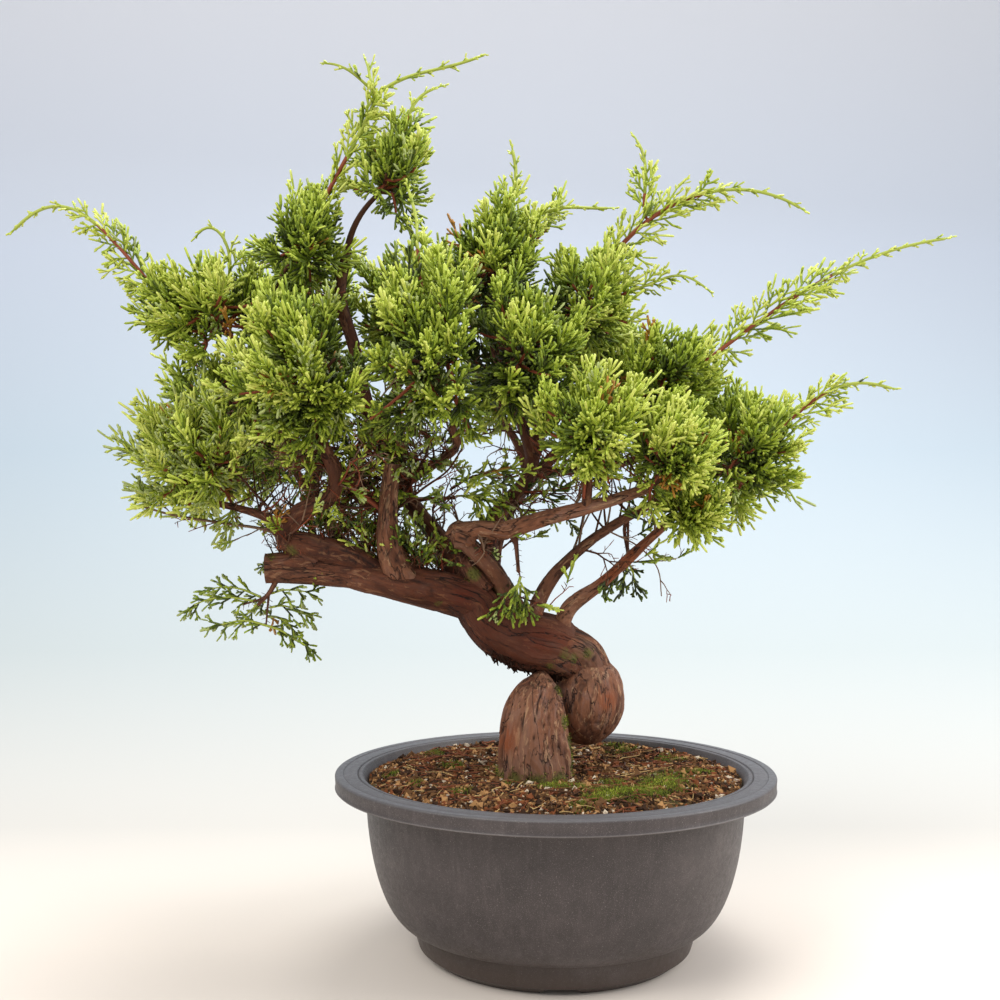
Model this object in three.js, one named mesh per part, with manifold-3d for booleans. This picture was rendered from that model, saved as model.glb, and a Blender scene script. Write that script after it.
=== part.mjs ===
// Itoigawa Chinese juniper, a bonsai with a coiled trunk, in its round training pot.
// Millimetres, +Z up, the front at -Y. The origin is the centre of the pot's underside.

import * as THREE from 'three';
import { mergeVertices } from 'three/addons/utils/BufferGeometryUtils.js';
import Module from 'manifold-3d';

const wasm = await Module();
wasm.setup();

// Clearances
const GAP = 0.3;
const LIMB_CLEAR = 1.3;
const CELL_MARGIN = 0.05;
const LEADER_SPACE = 14;
const LEADER_MARGIN = 3;

// Pot
const POT_HEIGHT = 102;
const RIM_RADIUS = 125;
const RIM_DEPTH = 8.4;
const MOUTH_RADIUS = 109;
const SHOULDER_RADIUS = 107.5;
const FOOT_HEIGHT = 17.5;
const LEDGE_RADIUS = 82;
const FOOT_RADIUS = 80;
const FOOT_BOTTOM_RADIUS = 72.6;
const FOOT_RING_WIDTH = 7;
const PAD_RADIUS = 16;
const WALL = 3;
const FLOOR_UNDERSIDE = 8.5;
const FLOOR_TOP = 12.5;
const NOTCH = { count: 4, bottom: 24, top: 15, height: 3.6, depth: 24 };
const DRAIN = { count: 4, radius: 6, ring: 42 };
const POT_SEGMENTS = 24;

// Soil
const SOIL_EDGE = 97.2;
const SOIL_CROWN = 98.8;
const SOIL_SEAT_RADIUS = 44;
const SOIL_RINGS = [65, 86];
const SOIL_MOUND = { rise: 1.6, height: 1.2, lengthX: 8.5, lengthY: 7.5 };

// Trunk: a thick column, a bulge beside it where the trunk coils round, and the rise to the fork
const GROUND = SOIL_CROWN + GAP;
const COLUMN = {
  path: [[-11, -11, 84], [-11, -12, 105], [-12, -13, 123], [-11, -12, 138], [-8, -9, 154]],
  radius: 19.4,
  flare: 0.22,
  roundFrom: 0.6,
};
const BULGE = { centre: [19, 13, 140], size: [23, 22, 27] };
const RISE = {
  path: [
    [24, 12, 130], [21, 12, 147], [13, 9, 161], [-3, 3, 171], [-21, -3, 176], [-33, -5.5, 182], [-42, -7, 193],
  ],
  radii: [13, 15, 16, 18, 19, 17, 12.7],
};

// Boughs: name, radius at the root and at the tip, and the line from inside the parent to the tip.
// A bough's root is cut clear of every limb that is listed before it.
const BOUGHS = [
  ['limb_left', 12.6, 8.4, [[-33, -5, 184], [-44, -7, 197], [-64, -8, 204], [-88, -10, 209],
    [-116, -12, 216], [-144, -14, 218.5], [-163, -16, 218]]],
  ['stub_front', 6.8, 4.7, [[-86, -10, 210], [-92, -22, 227], [-93, -27, 244], [-91, -28, 275]]],
  ['bough_left_rise', 6.5, 3, [[-134, -14, 222], [-151, -18, 234], [-143, -25, 248], [-125, -29, 257],
    [-121, -34, 269], [-129, -44, 289]]],
  ['bough_left_low', 2.8, 1.7, [[-148, -21, 240], [-170, -24, 249], [-191, -27, 254], [-206, -28, 256]]],
  ['bough_apex', 6.6, 2.6, [[-50, -2, 199], [-64, 8, 229], [-85, 13, 257], [-92, 14, 279],
    [-108, 12, 308], [-116, 10, 344], [-124, 9, 376], [-120, 8, 402]]],
  ['bough_left', 4.7, 2.6, [[-85, 12, 259], [-102, 2, 253], [-118, -8, 266], [-139, -14, 295],
    [-151, -16, 314], [-165, -12, 340], [-164, -8, 359]]],
  ['bough_front_root', 6, 5.3, [[-23, -4, 190], [-33, -12, 214], [-44, -18, 226], [-55, -21, 235]]],
  ['bough_front_right', 5.3, 2.7, [[-55, -21, 237], [-42, -23, 239], [-29, -25, 239], [-8, -30, 245],
    [23, -40, 253], [47, -47, 261]]],
  ['bough_front_side', 2.2, 1.6, [[16, -38, 251], [17, -45, 265], [16, -50, 275]]],
  ['bough_back_right', 5.8, 2.6, [[-33, 2, 196], [-38, 15, 226], [-34, 22, 246], [-15, 31, 269],
    [-10, 35, 288], [-2, 30, 317], [6, 12, 356]]],
  ['bough_right_mid', 4, 2.1, [[-14, -2, 184], [-5, -6, 206], [9, -10, 223], [29, -14, 239],
    [63, -16, 258], [89, -14, 270]]],
  ['bough_right_low', 4.3, 2.2, [[3, 2, 178], [8, 0, 193], [26, -6, 208], [46, -20, 228], [62, -32, 244]]],
  ['bough_centre', 2.6, 1.7, [[-88, 14, 266], [-66, 0, 278], [-56, -16, 285], [-57, -36, 296]]],
  ['bough_top', 3.9, 2.3, [[-11, 34, 282], [-19, 22, 304], [-31, 10, 332], [-38, 4, 357]]],
  ['bough_mid', 2.4, 1.7, [[-26, 15, 320], [-24, -4, 328], [-24, -16, 334]]],
  ['bough_right_high', 3.3, 2.2, [[-5, 32, 308], [14, 26, 310], [33, 14, 308], [49, 5, 309]]],
  ['bough_back_left', 4.6, 2.6, [[-116, -6, 218], [-125, 16, 230], [-141, 36, 254], [-160, 48, 279]]],
  ['bough_back_left_high', 3, 2.2, [[-144, 38, 258], [-147, 50, 288], [-153, 54, 322]]],
  ['bough_back', 5.2, 2.8, [[-24, 8, 186], [-35, 26, 210], [-30, 44, 242], [-8, 58, 274], [20, 66, 301]]],
  ['bough_back_mid', 2.7, 2.3, [[-13, 55, 268], [-19, 62, 290], [-29, 66, 308]]],
  ['bough_back_low', 2.7, 2.3, [[-9, 57, 273], [14, 63, 276], [40, 62, 279], [64, 57, 286]]],
  ['bough_back_high', 3.2, 2.3, [[-104, 15, 304], [-96, 34, 319], [-91, 48, 336]]],
  ['bough_left_top', 2.5, 1.8, [[-153, -16, 316], [-164, -16, 328], [-176, -13, 341]]],
  ['bough_left_back', 2.5, 1.9, [[-144, -15, 302], [-157, 4, 308], [-171, 14, 315]]],
  ['twig_limb_end', 1.8, 1.2, [[-155, -16, 214], [-161, -17, 203], [-167, -16, 197]]],
  ['twig_hanging', 1.3, 1, [[-23, -26, 240], [-22, -30, 227], [-21, -32, 216]]],
  ['twig_hanging_right', 1.2, 0.9, [[40, -15, 246], [40, -4, 238], [43, 4, 224]]],
  ['twig_centre', 1.5, 1, [[-83, 12, 256], [-68, 0, 257], [-57, -8, 257]]],
];
const THICK_LIMB = 10;
const THIN_LIMB = 2;
const LIMB_SIDES = 10;
const BOUGH_SIDES = 5;
const TWIG_SIDES = 4;

// Foliage masses: the bough that carries it, its centre and half sizes, and where they differ from
// the usual values its number of branches and the core's share of the half sizes. A leader is a long
// shoot: where it leaves (a share of an earlier leader, or the hub) and its next three points.
const BRANCHES = 8;
const CORE_SHARE = 0.5;
const CORE_LEAST = 0.1;
const MASSES = [
  { name: 'crown_left', bough: 'bough_left', centre: [-144, -6, 402], size: [35, 32, 33], core: 0.2,
    leaders: [
      { points: [[-131, -6, 428], [-115, -4, 459], [-101, -2, 489]] },
      { from: 0, at: 1, points: [[-84, -3, 498], [-66, -5, 502], [-44, -6, 508]] },
      { from: 0, at: 1, points: [[-108, -6, 493], [-116, -12, 498], [-127, -18, 500]] },
      { from: 0, at: 1, points: [[-105, 0, 496], [-107, 4, 504], [-109, 8, 511]] },
    ] },
  { name: 'crown_top', bough: 'bough_apex', centre: [-95, 8, 444], size: [26, 30, 33], core: 0.2,
    leaders: [{ points: [[-89, 9, 463], [-83, 12, 485], [-68, 16, 499]] }] },
  { name: 'left_top', bough: 'bough_left_top', centre: [-197, -8, 359], size: [44, 42, 30],
    leaders: [
      { points: [[-232, -6, 381], [-269, -2, 419], [-311, 2, 412]] },
      { points: [[-184, -10, 388], [-190, -12, 407], [-201, -14, 406]] },
    ] },
  { name: 'left_low', bough: 'bough_left_low', centre: [-200, -24, 276], size: [42, 42, 41], core: 0.2 },
  { name: 'front_left', bough: 'bough_left_rise', centre: [-134, -58, 322], size: [44, 36, 42] },
  { name: 'left_back', bough: 'bough_left_back', centre: [-193, 18, 320], size: [42, 38, 37] },
  { name: 'front_centre', bough: 'bough_centre', centre: [-70, -56, 334], size: [41, 36, 48],
    leaders: [{ points: [[-75, -50, 386], [-76, -44, 404], [-81, -36, 424]] }] },
  { name: 'centre_top', bough: 'bough_top', centre: [-32, 0, 390], size: [36, 40, 36],
    leaders: [
      { points: [[-29, 0, 418], [-23, 2, 437], [-24, 4, 458]] },
      { points: [[-14, -4, 415], [7, -8, 422], [29, -14, 420]] },
    ] },
  { name: 'centre_mid', bough: 'bough_mid', centre: [-20, -36, 335], size: [37, 36, 41] },
  { name: 'right_top', bough: 'bough_back_right', centre: [20, 8, 373], size: [34, 40, 34],
    leaders: [
      { points: [[52, 6, 416], [96, 0, 434], [139, -8, 422]] },
      { from: 0, at: 0.36, points: [[53, 10, 431], [54, 12, 449], [49, 14, 467]] },
      { points: [[53, 4, 380], [71, 0, 385], [87, -6, 376]] },
    ] },
  { name: 'right_upper', bough: 'bough_right_high', centre: [64, -4, 323], size: [31, 38, 30],
    leaders: [{ points: [[102, -2, 347], [157, 5, 384], [229, 12, 409]] }] },
  { name: 'right_low', bough: 'bough_right_mid', centre: [111, -8, 279], size: [29, 42, 40], core: 0.2,
    leaders: [{ points: [[139, -8, 306], [164, -6, 321], [193, -2, 320]] }] },
  { name: 'front_right', bough: 'bough_front_side', centre: [19, -64, 291], size: [32, 34, 30] },
  { name: 'front_right_mid', bough: 'bough_front_right', centre: [57, -58, 277], size: [28, 32, 28] },
  { name: 'front_right_low', bough: 'bough_right_low', centre: [71, -40, 249], size: [21, 26, 21] },
  { name: 'back_left_low', bough: 'bough_back_left', centre: [-191, 64, 295], size: [49, 38, 38], core: 0.2 },
  { name: 'back_left_top', bough: 'bough_back_left_high', centre: [-156, 60, 364], size: [48, 40, 41] },
  { name: 'back_top', bough: 'bough_back_high', centre: [-86, 62, 370], size: [45, 40, 44] },
  { name: 'back_mid', bough: 'bough_back_mid', centre: [-29, 74, 346], size: [44, 36, 46] },
  { name: 'back_right', bough: 'bough_back', centre: [36, 72, 339], size: [44, 38, 39] },
  { name: 'back_right_low', bough: 'bough_back_low', centre: [87, 58, 300], size: [41, 38, 37], core: 0.2 },
  { name: 'hanging_left', bough: 'twig_limb_end', centre: [-173, -14, 191], size: [33, 24, 19], branches: 6,
    core: 0.1 },
  { name: 'hanging_spray', bough: 'twig_hanging', centre: [-22, -34, 202], size: [11, 11, 14], branches: 3,
    core: 0.2 },
  { name: 'hanging_spray_right', bough: 'twig_hanging_right', centre: [41, 6, 211], size: [11, 10, 10],
    branches: 3, core: 0.2 },
  { name: 'centre_spray', bough: 'twig_centre', centre: [-37, -14, 259], size: [18, 16, 15], branches: 4,
    core: 0.15 },
];

// Growth rule
const SEED = 29;
const HUB_SHARE = 0.8;
const STEM_RADIUS = 1.6;
const TWIG_HALF_WIDTH = 1.5;
const TWIG_HALF_DEPTH = 1.6;
const LEADER_RADIUS = [1.6, 0.9];
const LEADER_SEGMENT = 30;
const LEADER_STEP = 19;
const LEADER_SPRAY = [29, 13];
const SPRAY_LENGTH = 30;
const TWIG_SHARE = 0.36;
const SPACE_REACH = 1.06;
const SIDE_PLACE = 0.8;
const SIDE_SHARE = 0.7;
const SIDE_EVERY = 4;
const SMALL_MASS = 20;
const SPRAY_TRIES = 9;
const SPRAY_SHRINK = 0.05;
const SPRAY_APART = 3.2;
const ROOT_SUNK = 1.2;
const TIP_SUNK = 3;
// A spray is a flat fan of teeth. Reaches are shares of the fan's length.
const FAN = { teeth: 5, halfAngle: 0.95, notch: 0.66, sideTooth: 0.86, depth: 0.1 };
const SLIM_FAN = { teeth: 3, halfAngle: 0.5, notch: 0.6, sideTooth: 0.8, depth: 0.1 };
const FAN_MIDDLE = 0.3;

const materials = {
  pot: new THREE.MeshStandardMaterial({ color: 0x4a474d, roughness: 0.7, metalness: 0 }),
  soil: new THREE.MeshStandardMaterial({ color: 0x5b4634, roughness: 1, metalness: 0 }),
  bark: new THREE.MeshStandardMaterial({ color: 0x6e4a3a, roughness: 0.9, metalness: 0 }),
  foliage: new THREE.MeshStandardMaterial({ color: 0x7c9a35, roughness: 0.7, metalness: 0 }),
};

const vec = ([x, y, z]) => new THREE.Vector3(x, y, z);
const UP = new THREE.Vector3(0, 0, 1);

// Turns a closed geometry into a solid whose faces point out
function solidOf(geometry) {
  geometry.deleteAttribute('normal');
  geometry.deleteAttribute('uv');
  const merged = mergeVertices(geometry);
  const points = merged.attributes.position.array;
  const faces = Uint32Array.from(merged.index.array);
  const corner = [new THREE.Vector3(), new THREE.Vector3(), new THREE.Vector3()];
  let volume = 0;
  for (let i = 0; i < faces.length; i += 3) {
    corner.forEach((c, k) => c.fromArray(points, 3 * faces[i + k]));
    volume += corner[0].dot(corner[1].cross(corner[2]));
  }
  if (volume < 0) faces.reverse();
  return new wasm.Manifold(new wasm.Mesh({ numProp: 3, vertProperties: points, triVerts: faces }));
}

function meshOf(name, solid, material) {
  const { vertProperties, triVerts } = solid.getMesh();
  const geometry = new THREE.BufferGeometry();
  geometry.setAttribute('position', new THREE.BufferAttribute(vertProperties, 3));
  geometry.setIndex(new THREE.BufferAttribute(triVerts, 1));
  geometry.computeVertexNormals();
  const mesh = new THREE.Mesh(geometry, material);
  mesh.name = name;
  return mesh;
}

// A closed tube round a curve, with its radius told by the share of the length
function tube(curve, radiusAt, sides, steps, flute = 0) {
  const frames = curve.computeFrenetFrames(steps);
  const geometry = new THREE.CylinderGeometry(1, 1, 1, sides, steps);
  const position = geometry.attributes.position;
  for (let i = 0; i < position.count; i++) {
    const ring = Math.round((position.getY(i) + 0.5) * steps);
    const t = ring / steps;
    const angle = Math.atan2(position.getZ(i), position.getX(i));
    const ridge = 1 + flute * Math.sin(3 * angle + 6 * t) + 0.6 * flute * Math.sin(5 * angle - 4 * t);
    const radius = radiusAt(t) * ridge;
    const point = curve.getPointAt(t)
      .addScaledVector(frames.binormals[ring], position.getX(i) * radius)
      .addScaledVector(frames.normals[ring], position.getZ(i) * radius);
    position.setXYZ(i, point.x, point.y, point.z);
  }
  return solidOf(geometry);
}

// A smooth line through a path's points, with both ends drawn out by an extra length
function smoothLine(path, extra = 0) {
  const points = path.map(vec);
  const last = points.length - 1;
  points[0].addScaledVector(points[0].clone().sub(points[1]).normalize(), extra);
  points[last].addScaledVector(points[last].clone().sub(points[last - 1]).normalize(), extra);
  return new THREE.CatmullRomCurve3(points, false, 'centripetal');
}

function latheSolid(profile) {
  const points = profile.map(([radius, height]) => new THREE.Vector2(radius, height));
  return solidOf(new THREE.LatheGeometry(points, POT_SEGMENTS).rotateX(Math.PI / 2));
}

// Pot
const SHOULDER = POT_HEIGHT - RIM_DEPTH;

function bodyRadius(z) {
  const share = (z - FOOT_HEIGHT) / (SHOULDER - FOOT_HEIGHT);
  return LEDGE_RADIUS + (SHOULDER_RADIUS - LEDGE_RADIUS) * (1 - (1 - share) ** 2) ** 0.52;
}

function insideRadius(z) {
  const wallTop = SHOULDER_RADIUS - WALL;
  if (z <= SHOULDER) return bodyRadius(z) - WALL;
  return THREE.MathUtils.lerp(wallTop, MOUTH_RADIUS, (z - SHOULDER) / (POT_HEIGHT - 0.8 - SHOULDER));
}

const wallHeights = [0.06, 0.22, 0.54, 1].map(s => FOOT_HEIGHT + s * (SHOULDER - FOOT_HEIGHT));

function makePot() {
  const ringInside = FOOT_BOTTOM_RADIUS - FOOT_RING_WIDTH;
  let pot = latheSolid([
    [0, 0], [PAD_RADIUS, 0], [PAD_RADIUS + 1, FLOOR_UNDERSIDE], [ringInside - 1, FLOOR_UNDERSIDE],
    [ringInside, 0], [FOOT_BOTTOM_RADIUS, 0], [FOOT_RADIUS - 2, 5], [FOOT_RADIUS, FOOT_HEIGHT - 0.8],
    [LEDGE_RADIUS, FOOT_HEIGHT],
    ...wallHeights.map(z => [bodyRadius(z), z]),
    [RIM_RADIUS - 1, SHOULDER], [RIM_RADIUS, SHOULDER + 1.2], [RIM_RADIUS, POT_HEIGHT - 1],
    [RIM_RADIUS - 1.4, POT_HEIGHT], [MOUTH_RADIUS, POT_HEIGHT - 0.8],
    ...wallHeights.slice(1).reverse().map(z => [insideRadius(z), z]),
    [FOOT_RADIUS - WALL, FLOOR_TOP + 4], [FOOT_RADIUS - WALL - 6, FLOOR_TOP], [0, FLOOR_TOP],
  ]);
  const notchShape = new THREE.Shape([
    new THREE.Vector2(-NOTCH.bottom / 2, -1), new THREE.Vector2(NOTCH.bottom / 2, -1),
    new THREE.Vector2(NOTCH.top / 2, NOTCH.height), new THREE.Vector2(-NOTCH.top / 2, NOTCH.height),
  ]);
  for (let i = 0; i < NOTCH.count; i++) {
    const cutter = new THREE.ExtrudeGeometry(notchShape, { depth: NOTCH.depth, bevelEnabled: false })
      .rotateX(Math.PI / 2).translate(0, -FOOT_BOTTOM_RADIUS + NOTCH.depth / 2, 0)
      .rotateZ((2 * Math.PI * i) / NOTCH.count);
    pot = pot.subtract(solidOf(cutter));
  }
  for (let i = 0; i < DRAIN.count; i++) {
    const hole = new THREE.CylinderGeometry(DRAIN.radius, DRAIN.radius, 12, 10)
      .rotateX(Math.PI / 2).translate(DRAIN.ring, 0, (FLOOR_UNDERSIDE + FLOOR_TOP) / 2)
      .rotateZ((2 * Math.PI * (i + 0.5)) / DRAIN.count);
    pot = pot.subtract(solidOf(hole));
  }
  return pot;
}

function makeSoil() {
  const heights = wallHeights.slice(1, 3);
  return latheSolid([
    [0, FLOOR_TOP + GAP], [FOOT_RADIUS - WALL - 7, FLOOR_TOP + GAP],
    [FOOT_RADIUS - WALL - 1, FLOOR_TOP + 4.5],
    ...heights.map(z => [insideRadius(z) - 0.6, z]),
    [insideRadius(SHOULDER) - 0.6, SHOULDER], [insideRadius(SOIL_EDGE) - 0.6, SOIL_EDGE],
    ...SOIL_RINGS.toReversed().map(radius => [radius, SOIL_CROWN]),
    [SOIL_SEAT_RADIUS, SOIL_CROWN], [0, SOIL_CROWN],
  ]).warp(point => {
    const onMounds = Math.hypot(point[0], point[1]) > SOIL_SEAT_RADIUS + 1 && point[2] > SOIL_CROWN - 0.1;
    if (onMounds) point[2] += soilMound(point[0], point[1]);
  });
}

// How far the soil's mounds stand above the flat seat round the trunk
function soilMound(x, y) {
  const { rise, height, lengthX, lengthY } = SOIL_MOUND;
  return rise + height * Math.sin(x / lengthX) * Math.cos(y / lengthY);
}

// Trunk
function columnRadius(t) {
  const rounding = Math.max(0, (t - COLUMN.roundFrom) / (1.04 - COLUMN.roundFrom));
  return COLUMN.radius * (1 + COLUMN.flare * Math.exp(-6 * t)) * Math.sqrt(1 - rounding ** 2);
}

function radiusAlong(radii, t) {
  const place = t * (radii.length - 1);
  const i = Math.min(Math.floor(place), radii.length - 2);
  return THREE.MathUtils.lerp(radii[i], radii[i + 1], place - i);
}

// The trunk's solid, grown by a clearance where it is used as a cutter
function makeTrunk(extra = 0) {
  const ball = new THREE.SphereGeometry(1, 12, 8)
    .scale(...BULGE.size.map(s => s + extra)).rotateX(Math.PI / 2).translate(...BULGE.centre);
  const belowGround = new THREE.BoxGeometry(120, 120, 60).translate(0, 0, GROUND - 30);
  return tube(smoothLine(COLUMN.path, extra), t => columnRadius(t) + extra, 12, 7, 0.03)
    .add(tube(smoothLine(RISE.path, extra), t => radiusAlong(RISE.radii, t) + extra, 12, 9, 0.03))
    .add(solidOf(ball))
    .subtract(solidOf(belowGround));
}

// Limbs as sampled lines with radii, for the distance tests
const limbLines = [];

function noteLimb(curve, radiusAt, samples) {
  const shares = Array.from({ length: samples + 1 }, (_, i) => i / samples);
  limbLines.push(shares.map(t => ({ at: curve.getPointAt(t), radius: radiusAt(t) })));
}

// How far a point lies outside the nearest limb
function limbDistance(point) {
  let nearest = point.distanceTo(vec(BULGE.centre)) - Math.max(...BULGE.size);
  const segment = new THREE.Line3();
  const foot = new THREE.Vector3();
  for (const points of limbLines) {
    for (let i = 1; i < points.length; i++) {
      segment.set(points[i - 1].at, points[i].at);
      const share = segment.closestPointToPointParameter(point, true);
      segment.at(share, foot);
      const radius = THREE.MathUtils.lerp(points[i - 1].radius, points[i].radius, share);
      nearest = Math.min(nearest, foot.distanceTo(point) - radius);
    }
  }
  return nearest;
}

// The seeded number stream
function seeded(seed) {
  let state = seed >>> 0;
  return () => {
    state = (state + 0x6d2b79f5) >>> 0;
    let mixed = state;
    mixed = Math.imul(mixed ^ (mixed >>> 15), mixed | 1);
    mixed ^= mixed + Math.imul(mixed ^ (mixed >>> 7), mixed | 61);
    return ((mixed ^ (mixed >>> 14)) >>> 0) / 4294967296;
  };
}

function tipOf(boughName) {
  const [, , radius, path] = BOUGHS.find(([name]) => name === boughName);
  const end = vec(path[path.length - 1]);
  const direction = end.clone().sub(vec(path[path.length - 2])).normalize();
  return { end, direction, radius };
}

// A point and the direction on the straight pieces that a tube makes of its curve
function chordAt(curve, steps, t) {
  const ring = Math.min(Math.floor(t * steps), steps - 1);
  const from = curve.getPointAt(ring / steps);
  const to = curve.getPointAt((ring + 1) / steps);
  return { point: from.clone().lerp(to, t * steps - ring), direction: to.sub(from).normalize() };
}

const leaderSteps = leader => Math.max(2, Math.round(leader.getLength() / LEADER_SEGMENT));

// Each mass's stem, hub and leaders are laid out first, because they bound its neighbours' space
function layOut(mass) {
  const { end, direction, radius } = tipOf(mass.bough);
  const start = end.clone().addScaledVector(direction, GAP);
  const centre = vec(mass.centre);
  const hub = start.clone().lerp(centre, HUB_SHARE);
  const bend = start.clone().addScaledVector(direction, 0.5 * start.distanceTo(hub));
  const stem = new THREE.QuadraticBezierCurve3(start, bend, hub);
  const leaders = [];
  for (const { from, at, points } of mass.leaders ?? []) {
    const base = from === undefined ? hub : chordAt(leaders[from], leaderSteps(leaders[from]), at).point;
    const [a, b, tip] = points.map(vec);
    const handle = (near, far, first, last) => first.clone().multiplyScalar(-5).addScaledVector(near, 18)
      .addScaledVector(far, -9).addScaledVector(last, 2).divideScalar(6);
    leaders.push(new THREE.CubicBezierCurve3(base, handle(a, b, base, tip), handle(b, a, tip, base), tip));
  }
  const leaderLines = leaders.map(leader => leader.getPoints(12));
  const stemRadius = Math.min(radius, STEM_RADIUS + 0.6);
  return { branches: BRANCHES, core: CORE_SHARE, ...mass, centre, hub, stem, stemRadius, leaders, leaderLines,
    half: vec(mass.size) };
}

const masses = MASSES.map(layOut);

const reach = (mass, point) => point.clone().sub(mass.centre).divide(mass.half).length();

function leaderDistance(mass, point) {
  let nearest = Infinity;
  const segment = new THREE.Line3();
  const foot = new THREE.Vector3();
  for (const points of mass.leaderLines) {
    for (let i = 1; i < points.length; i++) {
      segment.set(points[i - 1], points[i]);
      segment.closestPointToPoint(point, true, foot);
      nearest = Math.min(nearest, foot.distanceTo(point));
    }
  }
  return nearest;
}

// Whether a point is in the mass's own space and clear of all limbs
function isFree(mass, point) {
  if (limbDistance(point) < LIMB_CLEAR) return false;
  const own = leaderDistance(mass, point);
  const others = masses.filter(other => other !== mass);
  const foreign = Math.min(...others.map(other => leaderDistance(other, point)));
  if (foreign < LEADER_SPACE && foreign < own + LEADER_MARGIN) return false;
  if (own < LEADER_SPACE) return true;
  const share = reach(mass, point);
  return share < SPACE_REACH && others.every(other => reach(other, point) > share + CELL_MARGIN);
}

function fibonacciDirection(index, count, turn) {
  const height = 1 - (2 * (index + 0.5)) / count;
  const angle = turn + index * Math.PI * (3 - Math.sqrt(5));
  const ring = Math.sqrt(1 - height * height);
  return new THREE.Vector3(ring * Math.cos(angle), ring * Math.sin(angle), height);
}

// A spray's outline as places along and across it: the root, drawn out to a stalk on a twig's end
// spray, then the teeth with notches between them
function sprayOutline({ stalk, length, fan }) {
  const { teeth, halfAngle, notch, sideTooth } = fan;
  const outline = stalk ? [[stalk, -TWIG_HALF_WIDTH], [0, -TWIG_HALF_WIDTH], [0, TWIG_HALF_WIDTH],
    [stalk, TWIG_HALF_WIDTH]] : [[0, 0]];
  for (let i = 2 * teeth - 2; i >= 0; i--) {
    const turn = i / (teeth - 1) - 1;
    const reach = length * (i % 2 ? notch : 1 - (1 - sideTooth) * turn ** 2);
    outline.push([stalk + reach * Math.cos(halfAngle * turn), reach * Math.sin(halfAngle * turn)]);
  }
  return outline;
}

function sprayPoint(spray, [along, across]) {
  return spray.root.clone().addScaledVector(spray.along, along).addScaledVector(spray.across, across);
}

const sprayMiddle = spray => [spray.stalk + FAN_MIDDLE * spray.length, 0];

// Whether a spray stays in its mass's space and stands apart from the sprays already grown there
function sprayFits(mass, spray, grown) {
  const places = [...sprayOutline(spray).slice(spray.stalk ? 4 : 1), sprayMiddle(spray)];
  const probes = places.map(place => sprayPoint(spray, place));
  if (!probes.every(point => isFree(mass, point))) return false;
  const near = other => other.probes.some(a => probes.some(b => a.distanceTo(b) < SPRAY_APART));
  if (grown.some(near)) return false;
  spray.probes = probes;
  return true;
}

// The blade is thickest at the fan's middle and thins out to its outline
function bladeOf(spray) {
  const outline = sprayOutline(spray);
  const sides = outline.length;
  const geometry = new THREE.SphereGeometry(1, sides, 2);
  const position = geometry.attributes.position;
  const normal = spray.along.clone().cross(spray.across);
  const halfDepth = Math.max(spray.stalk ? TWIG_HALF_DEPTH : 0, spray.length * spray.fan.depth / 2);
  for (let i = 0; i < position.count; i++) {
    const row = Math.floor(i / (sides + 1));
    const place = row === 1 ? outline[(i % (sides + 1)) % sides] : sprayMiddle(spray);
    const point = sprayPoint(spray, place).addScaledVector(normal, (1 - row) * halfDepth);
    position.setXYZ(i, point.x, point.y, point.z);
  }
  return solidOf(geometry);
}

// A direction square to an axis, turned round it at random
function acrossOf(axis, random) {
  const tilt = new THREE.Vector3(random() - 0.5, random() - 0.5, random() - 0.5);
  return axis.clone().cross(tilt).normalize();
}

// A spray that leaves a twig's side or tip at an angle to its run
function sprayFrom(point, tangent, angle, length, fan, sunk, random) {
  const side = acrossOf(tangent, random);
  const along = tangent.clone().multiplyScalar(Math.cos(angle)).addScaledVector(side, Math.sin(angle))
    .addScaledVector(UP, 0.1).normalize();
  const across = side.addScaledVector(along, -side.dot(along));
  if (across.length() < 0.2) across.copy(along).cross(UP);
  const root = point.clone().addScaledVector(along, -sunk);
  return { root, along, across: across.normalize(), stalk: 0, length, fan };
}

// All limbs with their clearance, and the masses made so far
let obstacles;

// Tries a spray in fresh turns and ever shorter until it fits and its blade touches no obstacle
function trySpray(mass, grown, makeSpray) {
  for (let tries = 0; tries < SPRAY_TRIES; tries++) {
    const spray = makeSpray(1 - SPRAY_SHRINK * tries);
    if (!sprayFits(mass, spray, grown)) continue;
    spray.blade = bladeOf(spray);
    if (spray.blade.intersect(obstacles).getMesh().triVerts.length) continue;
    grown.push(spray);
    return spray;
  }
  return null;
}

// Twigs run from the hub towards evenly spread directions, each with a fan at its end and on its side
function growBranches(mass, random) {
  const sprays = [];
  const turn = 2 * Math.PI * random();
  const fan = Math.min(...mass.size) < SMALL_MASS ? SLIM_FAN : FAN;
  for (let i = 0; i < mass.branches; i++) {
    const arm = fibonacciDirection(i, mass.branches, turn).multiply(mass.half);
    const share = Math.max(TWIG_SHARE, 1 - SPRAY_LENGTH / arm.length()) + 0.06 * random();
    const base = (SPACE_REACH - share) * arm.length();
    const target = mass.centre.clone().addScaledVector(arm, share);
    const stalk = mass.hub.distanceTo(target);
    const along = target.clone().sub(mass.hub).normalize();
    if (![0.5, 1].every(t => isFree(mass, mass.hub.clone().lerp(target, t)))) continue;
    const twig = trySpray(mass, sprays, scale => (
      { root: mass.hub, along, across: acrossOf(along, random), stalk, length: base * scale, fan }));
    if (!twig || i % SIDE_EVERY) continue;
    const point = mass.hub.clone().lerp(target, SIDE_PLACE);
    trySpray(mass, sprays, scale => (
      sprayFrom(point, along, 0.7 + 0.5 * random(), SIDE_SHARE * base * scale, SLIM_FAN, ROOT_SUNK, random)));
  }
  return sprays;
}

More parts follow.
